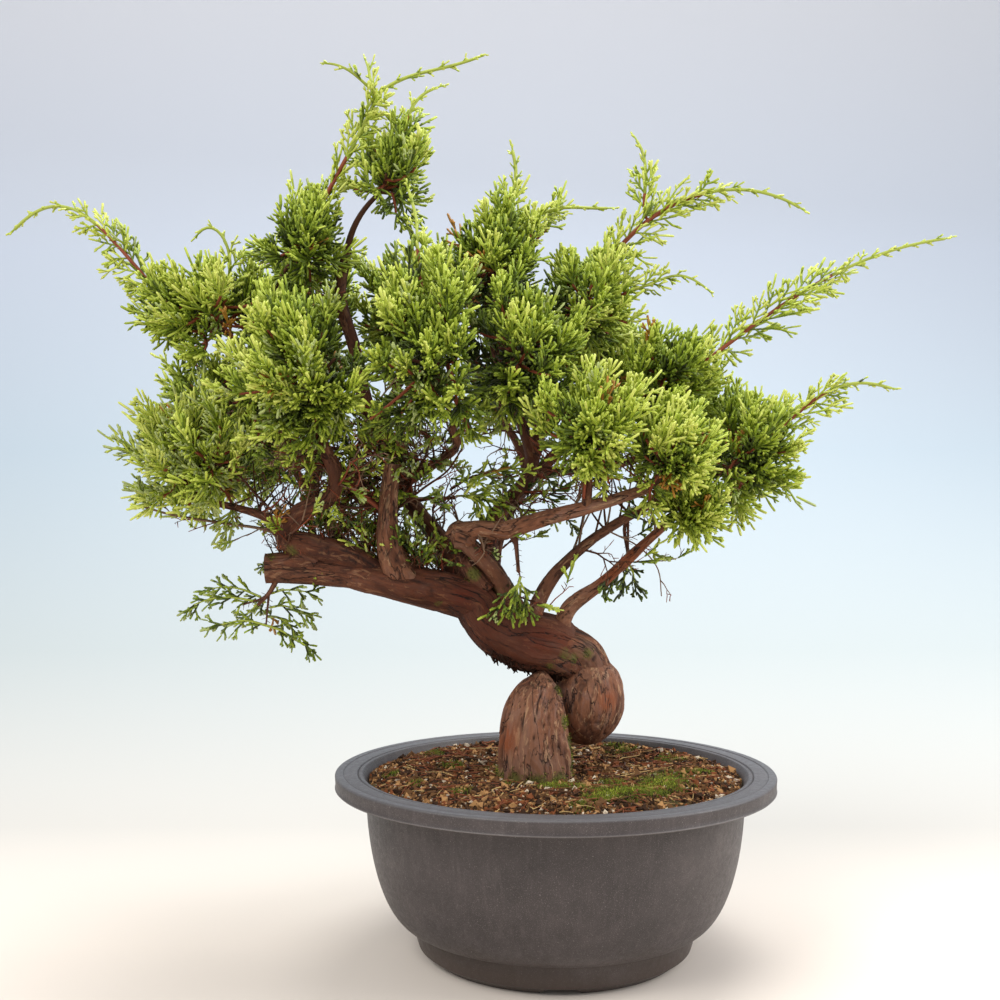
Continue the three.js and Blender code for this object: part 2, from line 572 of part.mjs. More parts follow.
function growLeader(mass, leader, random, sprays) {
  const steps = leaderSteps(leader);
  const count = Math.round(leader.getLength() / LEADER_STEP);
  for (let k = 1; k <= count; k++) {
    const t = k / count;
    const last = k === count;
    const angle = last ? 0 : (0.55 + 0.3 * random()) * (k % 2 ? 1 : -1);
    const length = THREE.MathUtils.lerp(...LEADER_SPRAY, t);
    const { point, direction } = chordAt(leader, steps, t);
    trySpray(mass, sprays, scale => (
      sprayFrom(point, direction, angle, length * scale, SLIM_FAN, last ? TIP_SUNK : ROOT_SUNK, random)));
  }
}

// The core is a lump round the hub, drawn in wherever it would leave the mass's space
function coreSolid(mass) {
  const geometry = new THREE.IcosahedronGeometry(1, 0);
  const position = geometry.attributes.position;
  for (let i = 0; i < position.count; i++) {
    const arm = new THREE.Vector3().fromBufferAttribute(position, i).multiply(mass.half);
    const pointAt = share => mass.hub.clone().addScaledVector(arm, share);
    let share = mass.core;
    while (share > CORE_LEAST && !isFree(mass, pointAt(share + 0.08))) share -= 0.04;
    position.setXYZ(i, ...pointAt(share));
  }
  return solidOf(geometry);
}

const linear = ([from, to]) => t => THREE.MathUtils.lerp(from, to, t);

function makeMass(mass, index) {
  const random = seeded(SEED + 101 * index);
  const sprays = growBranches(mass, random);
  let solid = tube(mass.stem, linear([mass.stemRadius, STEM_RADIUS]), 4, 2).add(coreSolid(mass));
  for (const leader of mass.leaders) {
    solid = solid.add(tube(leader, linear(LEADER_RADIUS), 3, leaderSteps(leader)));
    growLeader(mass, leader, random, sprays);
  }
  for (const spray of sprays) solid = solid.add(spray.blade);
  return solid;
}

const bonsai = new THREE.Group();
bonsai.add(meshOf('pot', makePot(), materials.pot));
bonsai.add(meshOf('soil', makeSoil(), materials.soil));
bonsai.add(meshOf('trunk', makeTrunk(), materials.bark));

noteLimb(smoothLine(COLUMN.path), columnRadius, 8);
noteLimb(smoothLine(RISE.path), t => radiusAlong(RISE.radii, t), 12);
const cutters = [makeTrunk(GAP)];
for (const [name, rootRadius, tipRadius, path] of BOUGHS) {
  const curve = smoothLine(path);
  const radiusAt = linear([rootRadius, tipRadius]);
  const sides = rootRadius > THICK_LIMB ? LIMB_SIDES : rootRadius < THIN_LIMB ? TWIG_SIDES : BOUGH_SIDES;
  const steps = path.length + (rootRadius > THICK_LIMB ? 2 : 0);
  let bough = tube(curve, radiusAt, sides, steps);
  for (const cutter of cutters) bough = bough.subtract(cutter);
  bonsai.add(meshOf(name, bough, materials.bark));
  cutters.push(tube(smoothLine(path, GAP), t => radiusAt(t) + GAP, sides, steps));
  noteLimb(curve, radiusAt, steps);
}

obstacles = cutters.reduce((all, cutter) => all.add(cutter));
masses.forEach((mass, index) => {
  const solid = makeMass(mass, index);
  bonsai.add(meshOf(`foliage_${mass.name}`, solid, materials.foliage));
  obstacles = obstacles.add(solid);
});

export default bonsai;
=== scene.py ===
"""An itoigawa chinese juniper grown as a bonsai in a round plastic training pot: its looks.

Lengths are in millimetres until a mesh is made. X runs to the right in the front view, Y to the back
and Z up, with the origin under the pot's centre.
"""

import collections
import math

import bpy
import numpy as np
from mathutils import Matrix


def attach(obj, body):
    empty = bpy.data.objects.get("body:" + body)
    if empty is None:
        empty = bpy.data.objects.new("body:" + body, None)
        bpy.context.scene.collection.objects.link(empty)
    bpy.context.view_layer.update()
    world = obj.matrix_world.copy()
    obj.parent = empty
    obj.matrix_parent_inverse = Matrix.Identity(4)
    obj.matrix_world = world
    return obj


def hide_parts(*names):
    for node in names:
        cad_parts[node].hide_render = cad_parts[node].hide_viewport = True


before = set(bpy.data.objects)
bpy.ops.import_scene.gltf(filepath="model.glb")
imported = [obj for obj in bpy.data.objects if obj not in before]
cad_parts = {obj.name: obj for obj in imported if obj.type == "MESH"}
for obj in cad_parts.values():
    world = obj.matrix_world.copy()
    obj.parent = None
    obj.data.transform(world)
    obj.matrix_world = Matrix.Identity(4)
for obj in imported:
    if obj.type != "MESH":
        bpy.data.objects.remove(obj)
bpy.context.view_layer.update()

MM = 0.001

# Pot
POT_HEIGHT = 102.0
RIM_RADIUS = 125.0
RIM_DEPTH = 8.4
MOUTH_RADIUS = 109.0
SHOULDER_RADIUS = 107.5
FOOT_HEIGHT = 17.5
LEDGE_RADIUS = 82.0
FOOT_RADIUS = 80.0
FOOT_BOTTOM_RADIUS = 72.6
FOOT_RING_WIDTH = 7.0
PAD_RADIUS = 16.0
WALL = 3.0
FLOOR_UNDERSIDE = 8.5
FLOOR_TOP = 12.5
NOTCH = {"count": 4, "bottom": 24.0, "top": 15.0, "height": 3.6, "depth": 24.0}
DRAIN = {"count": 4, "radius": 6.0, "ring": 42.0, "beyond": 4.0, "sides": 32}
RIM_GROOVE_RADIUS = 112.0
RIM_STEP_RADIUS = 120.0
POT_SEGMENTS = 240
SHOULDER = POT_HEIGHT - RIM_DEPTH

# Soil
SOIL_EDGE = 97.2
SOIL_CROWN = 98.8
SOIL_SEAT_RADIUS = 44.0
SOIL_RADIUS = 106.0
SOIL_RINGS = (65.0, 86.0)
SOIL_MOUND = {"rise": 1.6, "height": 1.2, "length_x": 8.5, "length_y": 7.5}
GROUND = 99.1

# Trunk: the column with the foot, the bulge beside it, and the rise to the fork
COLUMN = {
    "path": [(-11, -11, 84), (-11, -12, 105), (-12, -13, 123), (-11, -12, 138), (-8, -9, 154)],
    "radius": 19.4, "flare": 0.22, "flare_fall": 6, "round_from": 0.6, "round_to": 1.04, "least": 0.0008,
}
BULGE = {"centre": (19, 13, 140), "size": (23, 22, 27)}
RISE = {
    "path": [(24, 12, 130), (21, 12, 147), (13, 9, 161), (-3, 3, 171), (-21, -3, 176), (-33, -5.5, 182),
             (-42, -7, 193)],
    "radii": [13, 15, 16, 18, 19, 17, 12.7],
}

# Boughs: name, radius at the root, radius at the tip, path from inside the parent to the tip
BOUGHS = [
    ("limb_left", 12.6, 8.4, [(-33, -5, 184), (-44, -7, 197), (-64, -8, 204), (-88, -10, 209),
                              (-116, -12, 216), (-144, -14, 218.5), (-163, -16, 218)]),
    ("stub_front", 6.8, 4.7, [(-86, -10, 210), (-92, -22, 227), (-93, -27, 244), (-91, -28, 275)]),
    ("bough_left_rise", 6.5, 3, [(-134, -14, 222), (-151, -18, 234), (-143, -25, 248), (-125, -29, 257),
                                 (-121, -34, 269), (-129, -44, 289)]),
    ("bough_left_low", 2.8, 1.7, [(-148, -21, 240), (-170, -24, 249), (-191, -27, 254), (-206, -28, 256)]),
    ("bough_apex", 6.6, 2.6, [(-50, -2, 199), (-64, 8, 229), (-85, 13, 257), (-92, 14, 279),
                              (-108, 12, 308), (-116, 10, 344), (-124, 9, 376), (-120, 8, 402)]),
    ("bough_left", 4.7, 2.6, [(-85, 12, 259), (-102, 2, 253), (-118, -8, 266), (-139, -14, 295),
                              (-151, -16, 314), (-165, -12, 340), (-164, -8, 359)]),
    ("bough_front_root", 6, 5.3, [(-23, -4, 190), (-33, -12, 214), (-44, -18, 226), (-55, -21, 235)]),
    ("bough_front_right", 5.3, 2.7, [(-55, -21, 237), (-42, -23, 239), (-29, -25, 239), (-8, -30, 245),
                                     (23, -40, 253), (47, -47, 261)]),
    ("bough_front_side", 2.2, 1.6, [(16, -38, 251), (17, -45, 265), (16, -50, 275)]),
    ("bough_back_right", 5.8, 2.6, [(-33, 2, 196), (-38, 15, 226), (-34, 22, 246), (-15, 31, 269),
                                    (-10, 35, 288), (-2, 30, 317), (6, 12, 356)]),
    ("bough_right_mid", 4, 2.1, [(-14, -2, 184), (-5, -6, 206), (9, -10, 223), (29, -14, 239),
                                 (63, -16, 258), (89, -14, 270)]),
    ("bough_right_low", 4.3, 2.2, [(3, 2, 178), (8, 0, 193), (26, -6, 208), (46, -20, 228),
                                   (62, -32, 244)]),
    ("bough_centre", 2.6, 1.7, [(-88, 14, 266), (-66, 0, 278), (-56, -16, 285), (-57, -36, 296)]),
    ("bough_top", 3.9, 2.3, [(-11, 34, 282), (-19, 22, 304), (-31, 10, 332), (-38, 4, 357)]),
    ("bough_mid", 2.4, 1.7, [(-26, 15, 320), (-24, -4, 328), (-24, -16, 334)]),
    ("bough_right_high", 3.3, 2.2, [(-5, 32, 308), (14, 26, 310), (33, 14, 308), (49, 5, 309)]),
    ("bough_back_left", 4.6, 2.6, [(-116, -6, 218), (-125, 16, 230), (-141, 36, 254), (-160, 48, 279)]),
    ("bough_back_left_high", 3, 2.2, [(-144, 38, 258), (-147, 50, 288), (-153, 54, 322)]),
    ("bough_back", 5.2, 2.8, [(-24, 8, 186), (-35, 26, 210), (-30, 44, 242), (-8, 58, 274), (20, 66, 301)]),
    ("bough_back_mid", 2.7, 2.3, [(-13, 55, 268), (-19, 62, 290), (-29, 66, 308)]),
    ("bough_back_low", 2.7, 2.3, [(-9, 57, 273), (14, 63, 276), (40, 62, 279), (64, 57, 286)]),
    ("bough_back_high", 3.2, 2.3, [(-104, 15, 304), (-96, 34, 319), (-91, 48, 336)]),
    ("bough_left_top", 2.5, 1.8, [(-153, -16, 316), (-164, -16, 328), (-176, -13, 341)]),
    ("bough_left_back", 2.5, 1.9, [(-144, -15, 302), (-157, 4, 308), (-171, 14, 315)]),
    ("twig_limb_end", 1.8, 1.2, [(-155, -16, 214), (-161, -17, 203), (-167, -16, 197)]),
    ("twig_hanging", 1.3, 1, [(-23, -26, 240), (-22, -30, 227), (-21, -32, 216)]),
    ("twig_hanging_right", 1.2, 0.9, [(40, -15, 246), (40, -4, 238), (43, 4, 224)]),
    ("twig_centre", 1.5, 1, [(-83, 12, 256), (-68, 0, 257), (-57, -8, 257)]),
]

# Foliage masses: name, the bough that carries it, centre, half sizes, and each long shoot as where it
# leaves (an earlier one's number and the share along it, or None for the hub) and its next three points
MASSES = [
    ("crown_left", "bough_left", (-144, -6, 402), (35, 32, 33), [
        (None, [(-131, -6, 428), (-115, -4, 459), (-101, -2, 489)]),
        ((0, 1), [(-84, -3, 498), (-66, -5, 502), (-44, -6, 508)]),
        ((0, 1), [(-108, -6, 493), (-116, -12, 498), (-127, -18, 500)]),
        ((0, 1), [(-105, 0, 496), (-107, 4, 504), (-109, 8, 511)])]),
    ("crown_top", "bough_apex", (-95, 8, 444), (26, 30, 33), [
        (None, [(-89, 9, 463), (-83, 12, 485), (-68, 16, 499)])]),
    ("left_top", "bough_left_top", (-197, -8, 359), (44, 42, 30), [
        (None, [(-232, -6, 381), (-269, -2, 419), (-311, 2, 412)]),
        (None, [(-184, -10, 388), (-190, -12, 407), (-201, -14, 406)])]),
    ("left_low", "bough_left_low", (-200, -24, 276), (42, 42, 41), []),
    ("front_left", "bough_left_rise", (-134, -58, 322), (44, 36, 42), []),
    ("left_back", "bough_left_back", (-193, 18, 320), (42, 38, 37), []),
    ("front_centre", "bough_centre", (-70, -56, 334), (41, 36, 48), [
        (None, [(-75, -50, 386), (-76, -44, 404), (-81, -36, 424)])]),
    ("centre_top", "bough_top", (-32, 0, 390), (36, 40, 36), [
        (None, [(-29, 0, 418), (-23, 2, 437), (-24, 4, 458)]),
        (None, [(-14, -4, 415), (7, -8, 422), (29, -14, 420)])]),
    ("centre_mid", "bough_mid", (-20, -36, 335), (37, 36, 41), []),
    ("right_top", "bough_back_right", (20, 8, 373), (34, 40, 34), [
        (None, [(52, 6, 416), (96, 0, 434), (139, -8, 422)]),
        ((0, 0.36), [(53, 10, 431), (54, 12, 449), (49, 14, 467)]),
        (None, [(53, 4, 380), (71, 0, 385), (87, -6, 376)])]),
    ("right_upper", "bough_right_high", (64, -4, 323), (31, 38, 30), [
        (None, [(102, -2, 347), (157, 5, 384), (229, 12, 409)])]),
    ("right_low", "bough_right_mid", (111, -8, 279), (29, 42, 40), [
        (None, [(139, -8, 306), (164, -6, 321), (193, -2, 320)])]),
    ("front_right", "bough_front_side", (19, -64, 291), (32, 34, 30), []),
    ("front_right_mid", "bough_front_right", (57, -58, 277), (28, 32, 28), []),
    ("front_right_low", "bough_right_low", (71, -40, 249), (21, 26, 21), []),
    ("back_left_low", "bough_back_left", (-191, 64, 295), (49, 38, 38), []),
    ("back_left_top", "bough_back_left_high", (-156, 60, 364), (48, 40, 41), []),
    ("back_top", "bough_back_high", (-86, 62, 370), (45, 40, 44), []),
    ("back_mid", "bough_back_mid", (-29, 74, 346), (44, 36, 46), []),
    ("back_right", "bough_back", (36, 72, 339), (44, 38, 39), []),
    ("back_right_low", "bough_back_low", (87, 58, 300), (41, 38, 37), []),
    ("hanging_left", "twig_limb_end", (-173, -14, 191), (33, 24, 19), []),
    ("hanging_spray", "twig_hanging", (-22, -34, 202), (11, 11, 14), []),
    ("hanging_spray_right", "twig_hanging_right", (41, 6, 211), (11, 10, 10), []),
    ("centre_spray", "twig_centre", (-37, -14, 259), (18, 16, 15), []),
]

# Openings where the sky shows through or beside the crown: centre and radius
OPENINGS = [
    ((-170, -6, 424), 22), ((-244, 10, 333), 22), ((-236, -3, 340), 18), ((-228, 4, 322), 16),
    ((-206, -24, 233), 20), ((-226, -24, 238), 17), ((-252, -24, 288), 12), ((-250, -24, 264), 14),
    ((-213, -8, 393), 17), ((-49, -2, 420), 16), ((-92, -10, 394), 14), ((-98, 60, 404), 16),
    ((14, 0, 380), 9), ((18, 8, 406), 16), ((44, 8, 389), 16), ((50, 40, 386), 18), ((62, -4, 358), 18),
    ((62, 44, 362), 18), ((112, -8, 324), 18), ((118, 50, 326), 18), ((134, -8, 318), 12),
    ((142, -8, 278), 18), ((142, 16, 278), 21), ((130, -8, 251), 16), ((86, -24, 234), 12),
    ((112, -8, 234), 16), ((-72, 8, 448), 9), ((-96, 8, 408), 13), ((7, -50, 268), 12),
]

# Growth rule
SEED = 29
GAP = 0.3
HUB_SHARE = 0.8
LIMB_CLEAR = 1.3
CELL_MARGIN = -0.04
LEADER_SPACE = 14.0
LEADER_MARGIN = 3.0
SPRAY_SPACE = 18.0
SHOOT_SPACE = 9.0
SPACE_REACH = 1.06
JOIN_REACH = 0.18
OUTER_REACH = 1.2
TRUNK_PIECE = 6
BOUGH_PIECE = 8
LEADER_POINTS = 49
GOLDEN_ANGLE = math.pi * (3 - math.sqrt(5))


def vec(*values):
    return np.array(values, float)


def unit(a):
    return a / np.maximum(np.linalg.norm(a, axis=-1, keepdims=True), 1e-9)


def times(vectors, amounts):
    """Vectors, each multiplied by its own amount."""
    return vectors * amounts[..., None]


def lerp(a, b, t):
    return a + (b - a) * t


def smoothstep(low, high, value):
    t = np.clip((value - low) / (high - low), 0, 1)
    return t * t * (3 - 2 * t)


def spread_over(values, count):
    """A few values spread evenly over a number of places."""
    return np.interp(np.linspace(0, 1, count), np.linspace(0, 1, np.size(values)), np.atleast_1d(values))


# Random streams, one for each kind of small thing
STREAMS = {"granules": 1, "moss": 2, "litter": 3, "bark_moss": 4, "bare_twigs": 5, "flakes": 6}


def random_stream(kind):
    return np.random.default_rng(SEED + STREAMS[kind])


# Smooth noise on a lattice, with a hash of whole numbers at its corners
HASH_STEPS = (73856093, 19349663, 83492791)
HASH_SEED_STEP = 2654435761
HASH_ROUNDS = ((15, 0x2C1B3C6D), (12, 0x297A2D39))
HASH_LAST_SHIFT = 15
WORD = 0xFFFFFFFF


def lattice(cell, seed):
    x, y, z = (cell[..., i].astype(np.int64) * step for i, step in enumerate(HASH_STEPS))
    mixed = (x ^ y ^ z ^ (seed * HASH_SEED_STEP)) & WORD
    for shift, factor in HASH_ROUNDS:
        mixed = ((mixed ^ (mixed >> shift)) * factor) & WORD
    return (mixed ^ (mixed >> HASH_LAST_SHIFT)) / WORD


def noise(points, seed=0):
    """Value noise from -1 to 1."""
    cell = np.floor(points)
    part = points - cell
    part = part * part * (3 - 2 * part)
    total = 0
    for corner in np.ndindex(2, 2, 2):
        weight = np.prod(np.where(corner, part, 1 - part), axis=-1)
        total = total + weight * lattice(cell + corner, seed)
    return 2 * total - 1


def layered_noise(points, octaves, seed=0):
    """Noise in layers, each twice as fine and half as strong as the one before."""
    total, size = 0, 0
    for i in range(octaves):
        total = total + noise(points * 2 ** i, seed + i) / 2 ** i
        size += 1 / 2 ** i
    return total / size


# Meshes
def make_piece(name, vertices, faces, materials, smooth=True, faces_material=None):
    """A mesh from points in millimetres and arrays of three- or four-sided faces."""
    faces = faces if isinstance(faces, list) else [faces]
    mesh = bpy.data.meshes.new(name)
    mesh.vertices.add(len(vertices))
    mesh.vertices.foreach_set("co", (np.asarray(vertices) * MM).astype(np.float32).ravel())
    corners = np.concatenate([f.ravel() for f in faces])
    sizes = np.concatenate([np.full(len(f), f.shape[1]) for f in faces])
    mesh.loops.add(len(corners))
    mesh.loops.foreach_set("vertex_index", corners.astype(np.int32))
    mesh.polygons.add(len(sizes))
    mesh.polygons.foreach_set("loop_start", np.concatenate([[0], np.cumsum(sizes)[:-1]]).astype(np.int32))
    mesh.polygons.foreach_set("use_smooth", np.full(len(sizes), smooth))
    for material in materials:
        mesh.materials.append(material)
    if faces_material is not None:
        mesh.polygons.foreach_set("material_index", faces_material.astype(np.int32))
    mesh.update(calc_edges=True)
    mesh.validate()
    piece = bpy.data.objects.new(name, mesh)
    bpy.context.scene.collection.objects.link(piece)
    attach(piece, "root")
    return piece


def add_attribute(piece, name, values):
    kind, field = ("FLOAT_VECTOR", "vector") if np.ndim(values) == 2 else ("FLOAT", "value")
    attribute = piece.data.attributes.new(name, kind, "POINT")
    attribute.data.foreach_set(field, np.asarray(values, np.float32).ravel())


def circle_angles(sides):
    return np.arange(sides) * 2 * math.pi / sides


def grid_faces(rings, sides):
    """The four-sided faces between closed rings of points."""
    ring, side = np.meshgrid(np.arange(rings - 1), np.arange(sides), indexing="ij")
    here, there = ring * sides + side, ring * sides + (side + 1) % sides
    return np.stack([here, there, there + sides, here + sides], -1).reshape(-1, 4)


def cap_faces(start, sides, tip, turned):
    """A fan of triangles from a ring of points to its tip."""
    side = np.arange(sides)
    fan = np.stack([start + side, start + (side + 1) % sides, np.full(sides, tip)], -1)
    return fan[:, ::-1] if turned else fan


def tube_faces(rings, sides):
    """A closed tube's walls, and the fans at its ends, whose two tips follow the rings."""
    tip, last_ring = rings * sides, (rings - 1) * sides
    fans = np.vstack([cap_faces(0, sides, tip, True), cap_faces(last_ring, sides, tip + 1, False)])
    return grid_faces(rings, sides), fans


def copied_faces(faces, count, points_each):
    """The faces of a small shape, again for each of its copies."""
    return (faces[None] + points_each * np.arange(count)[:, None, None]).reshape(-1, faces.shape[1])


def pair_across(ahead, helper):
    """Two directions across another one, the first of them across a helper too."""
    side = unit(np.cross(ahead, helper))
    return side, np.cross(ahead, side)


def rings_round(centres, radii, side, other, sides):
    """Rings of points round centres, with one radius for each ring or for each of its points."""
    radii = np.asarray(radii, float)
    radii = radii if radii.ndim == centres.ndim else radii[..., None]
    angles = circle_angles(sides)[:, None]
    spokes = side[..., None, :] * np.cos(angles) + other[..., None, :] * np.sin(angles)
    return centres[..., None, :] + times(spokes, radii)


class TubeMesh:
    """Closed tubes gathered into one mesh."""

    def __init__(self):
        self.points, self.walls, self.ends = [], [], []
        self.count = 0

    def put(self, rings, start, end):
        """Adds a tube from its rings of points and the point at either end."""
        walls, ends = tube_faces(*rings.shape[:2])
        points = np.vstack([rings.reshape(-1, 3), start, end])
        self.points.append(points)
        self.walls.append(walls + self.count)
        self.ends.append(ends + self.count)
        self.count += len(points)

    def faces(self):
        return [np.vstack(self.walls), np.vstack(self.ends)]


# Lines
FRAME_HELPER = (0.31, 0.62, 0.72)
SPLINE_POINTS = 24


def tangents_of(line):
    return unit(np.gradient(line, axis=0))


def steps_of(line):
    return np.linalg.norm(np.diff(line, axis=0), axis=1)


def lengths_along(line):
    return np.concatenate([[0], np.cumsum(steps_of(line))])


def frames_along(points):
    """Tangents and two directions across them that don't twist."""
    tangents = tangents_of(points)
    across = np.zeros_like(points)
    side = np.cross(tangents[0], vec(*FRAME_HELPER))
    for i, tangent in enumerate(tangents):
        side = side - tangent * (side @ tangent)
        side = side / np.linalg.norm(side)
        across[i] = side
    return tangents, across, np.cross(tangents, across)


def resample(points, step):
    """The points of a line again, evenly spaced, with the length up to each."""
    lengths = lengths_along(points)
    count = max(2, int(round(lengths[-1] / step)) + 1)
    places = np.linspace(0, lengths[-1], count)
    return np.stack([np.interp(places, lengths, points[:, k]) for k in range(3)], 1), places


def smooth_line(path, step=1.5):
    """A smooth line through the points of a path (a centripetal Catmull-Rom spline)."""
    knots = np.array(path, float)
    knots = np.vstack([2 * knots[0] - knots[1], knots, 2 * knots[-1] - knots[-2]])
    pieces = []
    t = np.linspace(0, 1, SPLINE_POINTS)[:, None]
    for p0, p1, p2, p3 in zip(knots, knots[1:], knots[2:], knots[3:]):
        d0, d1, d2 = (max(np.linalg.norm(b - a), 1e-4) ** 0.5 for a, b in ((p0, p1), (p1, p2), (p2, p3)))
        m1 = d1 * ((p1 - p0) / d0 - (p2 - p0) / (d0 + d1) + (p2 - p1) / d1)
        m2 = d1 * ((p2 - p1) / d1 - (p3 - p1) / (d1 + d2) + (p3 - p2) / d2)
        pieces.append((2 * t ** 3 - 3 * t ** 2 + 1) * p1 + (t ** 3 - 2 * t ** 2 + t) * m1
                      + (3 * t ** 2 - 2 * t ** 3) * p2 + (t ** 3 - t ** 2) * m2)
    line = np.vstack([pieces[0]] + [piece[1:] for piece in pieces[1:]])
    return resample(line, step)[0]


def bezier(points, count):
    """Points on a Bezier curve of the second or third order."""
    t = np.linspace(0, 1, count)[:, None]
    order = len(points) - 1
    return sum(math.comb(order, i) * (1 - t) ** (order - i) * t ** i * np.asarray(p, float)
               for i, p in enumerate(points))


# Materials
def colour(red, green, blue):
    """A colour given as the eye sees it, from 0 to 255."""
    linear = [((c / 255 + 0.055) / 1.055) ** 2.4 if c > 10 else c / 255 / 12.92 for c in (red, green, blue)]
    return (*linear, 1.0)


def shade_of(value):
    return colour(*value) if isinstance(value, tuple) else value


class Look:
    """A material and its nodes. Each method adds a node and gives what comes out of it."""

    def __init__(self, name, base, roughness, specular):
        self.material = bpy.data.materials.new(name)
        self.material.use_nodes = True
        self.tree = self.material.node_tree
        self.shader = self.tree.nodes["Principled BSDF"]
        self.shader.inputs["Base Color"].default_value = colour(*base)
        self.shader.inputs["Roughness"].default_value = roughness
        self.shader.inputs["Specular IOR Level"].default_value = specular

    def add(self, kind, inputs=None, **settings):
        made = self.tree.nodes.new(kind)
        for key, value in settings.items():
            setattr(made, key, value)
        for key, value in (inputs or {}).items():
            if isinstance(value, bpy.types.NodeSocket):
                self.tree.links.new(value, made.inputs[key])
            else:
                made.inputs[key].default_value = value
        return made

    def link(self, value, socket):
        self.tree.links.new(value, self.shader.inputs[socket])

    def noise(self, place, scale, detail, roughness, distortion=0.0):
        return self.add("ShaderNodeTexNoise", {
            "Vector": place, "Scale": scale, "Detail": detail, "Roughness": roughness,
            "Distortion": distortion}).outputs["Fac"]

    def stretched(self, place, x, y, z):
        return self.add("ShaderNodeMapping", {"Vector": place, "Scale": (x, y, z)}).outputs["Vector"]

    def fibres(self, place, across, along, detail, roughness, distortion=0.0):
        """Noise drawn out along Z."""
        return self.noise(self.stretched(place, across, across, along), 1.0, detail, roughness, distortion)

    def span(self, value, low, high, to_low=0.0, to_high=1.0):
        ends = {"From Min": low, "From Max": high, "To Min": to_low, "To Max": to_high}
        return self.add("ShaderNodeMapRange", {"Value": value, **ends}).outputs[0]

    def ramp(self, value, stops):
        made = self.add("ShaderNodeValToRGB", {"Fac": value})
        elements = made.color_ramp.elements
        while len(elements) < len(stops):
            elements.new(0.5)
        for element, (place, shade) in zip(elements, stops):
            element.position = place
            element.color = colour(*shade)
        return made.outputs["Color"]

    def blend(self, factor, first, second, kind="MIX"):
        return self.add("ShaderNodeMix", {0: factor, 6: shade_of(first), 7: shade_of(second)},
                        data_type="RGBA", blend_type=kind).outputs[2]

    def figure(self, first, second, operation="MULTIPLY"):
        return self.add("ShaderNodeMath", {0: first, 1: second}, operation=operation).outputs[0]

    def bump(self, height, distance, strength=1.0):
        return self.add("ShaderNodeBump", {
            "Height": height, "Distance": distance * MM, "Strength": strength}).outputs["Normal"]

    def position(self):
        """Where a point lies in the row frame, in millimetres."""
        place = self.add("ShaderNodeTexCoord").outputs["Object"]
        return self.stretched(place, 1 / MM, 1 / MM, 1 / MM)

    def attribute(self, name, output="Fac"):
        return self.add("ShaderNodeAttribute", attribute_name=name).outputs[output]


def tone_materials(kind, tones, roughness=0.5, specular=0.35):
    """Plain materials, one for each tone: a name, a colour and, where they differ, roughness and specular."""
    return [Look(f"{kind}_{name}", shade, *(own or (roughness, specular))).material
            for name, shade, *own in tones]


POT_COLOUR = (62, 55, 55)
POT_CLOUDS = [(0.3, (50, 44, 44)), (0.55, POT_COLOUR), (0.75, (78, 70, 69))]
# Specks on the pot: noise scale, where in the noise they start, strength and colour
POT_SPECKS = [(1.5, 0.68, 0.55, (146, 138, 134)), (3.2, 0.64, 0.5, (158, 150, 146)),
              (0.75, 0.72, 0.5, (40, 35, 34))]
SPECK_EDGE = 0.05
POT_DIRT = {"from": 27, "to": 8, "ragged": 7, "strength": 0.6, "colour": (66, 52, 42)}
SEAM_HEIGHTS = [(0.1, 0.5), (1.3, 0.8)]


def pot_material():
    """Charcoal plastic with clouds, streaks, specks, dirt above the foot, a pale seam under the rim and a
    painted sheen on the rim's top.
    """
    look = Look("pot_plastic", POT_COLOUR, 0.5, 0.5)
    place = look.position()
    cloud = look.noise(place, 0.035, 5, 0.65)
    shade = look.ramp(cloud, POT_CLOUDS)
    streak = look.fibres(place, 0.25, 0.02, 4, 0.7)
    shade = look.blend(look.span(streak, 0.52, 0.75, 0.0, 0.35), shade, (92, 84, 83))
    for scale, start, strength, spot in POT_SPECKS:
        speck = look.noise(place, scale, 2, 0.5)
        shade = look.blend(look.span(speck, start, start + SPECK_EDGE, 0.0, strength), shade, spot)
    height = look.add("ShaderNodeSeparateXYZ", {0: place}).outputs["Z"]
    ragged = look.figure(height, look.span(cloud, 0.3, 0.7, -POT_DIRT["ragged"], POT_DIRT["ragged"]), "ADD")
    dirt = look.span(ragged, POT_DIRT["from"], POT_DIRT["to"], 0.0, POT_DIRT["strength"])
    shade = look.blend(dirt, shade, POT_DIRT["colour"])
    seam = look.figure(*(look.span(height, SHOULDER + low, SHOULDER + high) for low, high in SEAM_HEIGHTS))
    shade = look.blend(look.figure(seam, 0.45), shade, (120, 114, 112))
    # Painted sheen: the rim's top is painted a lighter blue-grey, which stands in for the sky's reflection on
    # it
    top = look.span(height, SHOULDER + 7.2, SHOULDER + 8.6, 0.0, 0.6)
    shade = look.blend(top, shade, (108, 108, 112))
    look.link(shade, "Base Color")
    look.link(look.span(look.noise(place, 0.4, 4, 0.6), 0.3, 0.7, 0.42, 0.6), "Roughness")
    look.link(look.bump(look.noise(place, 2.2, 3, 0.6), 0.09), "Normal")
    return look.material


SOIL_SHADES = [(0.3, (30, 21, 16)), (0.5, (66, 46, 32)), (0.7, (108, 80, 54))]


def soil_material():
    """Dark moist soil with green patches."""
    look = Look("soil_ground", (80, 60, 44), 0.95, 0.2)
    place = look.position()
    lump = look.noise(place, 0.35, 5, 0.7)
    green = look.span(look.noise(place, 0.05, 3, 0.6), 0.5, 0.62, 0.0, 0.6)
    look.link(look.blend(green, look.ramp(lump, SOIL_SHADES), (74, 78, 34)), "Base Color")
    look.link(look.bump(lump, 1.2), "Normal")
    return look.material


BARK_SHADES = [(0.32, (84, 49, 34)), (0.43, (114, 72, 50)), (0.51, (144, 94, 66)), (0.58, (138, 100, 84)),
               (0.70, (184, 146, 112))]
PLATE_LEVEL = 0.5
CRACK_LEVEL = 0.46


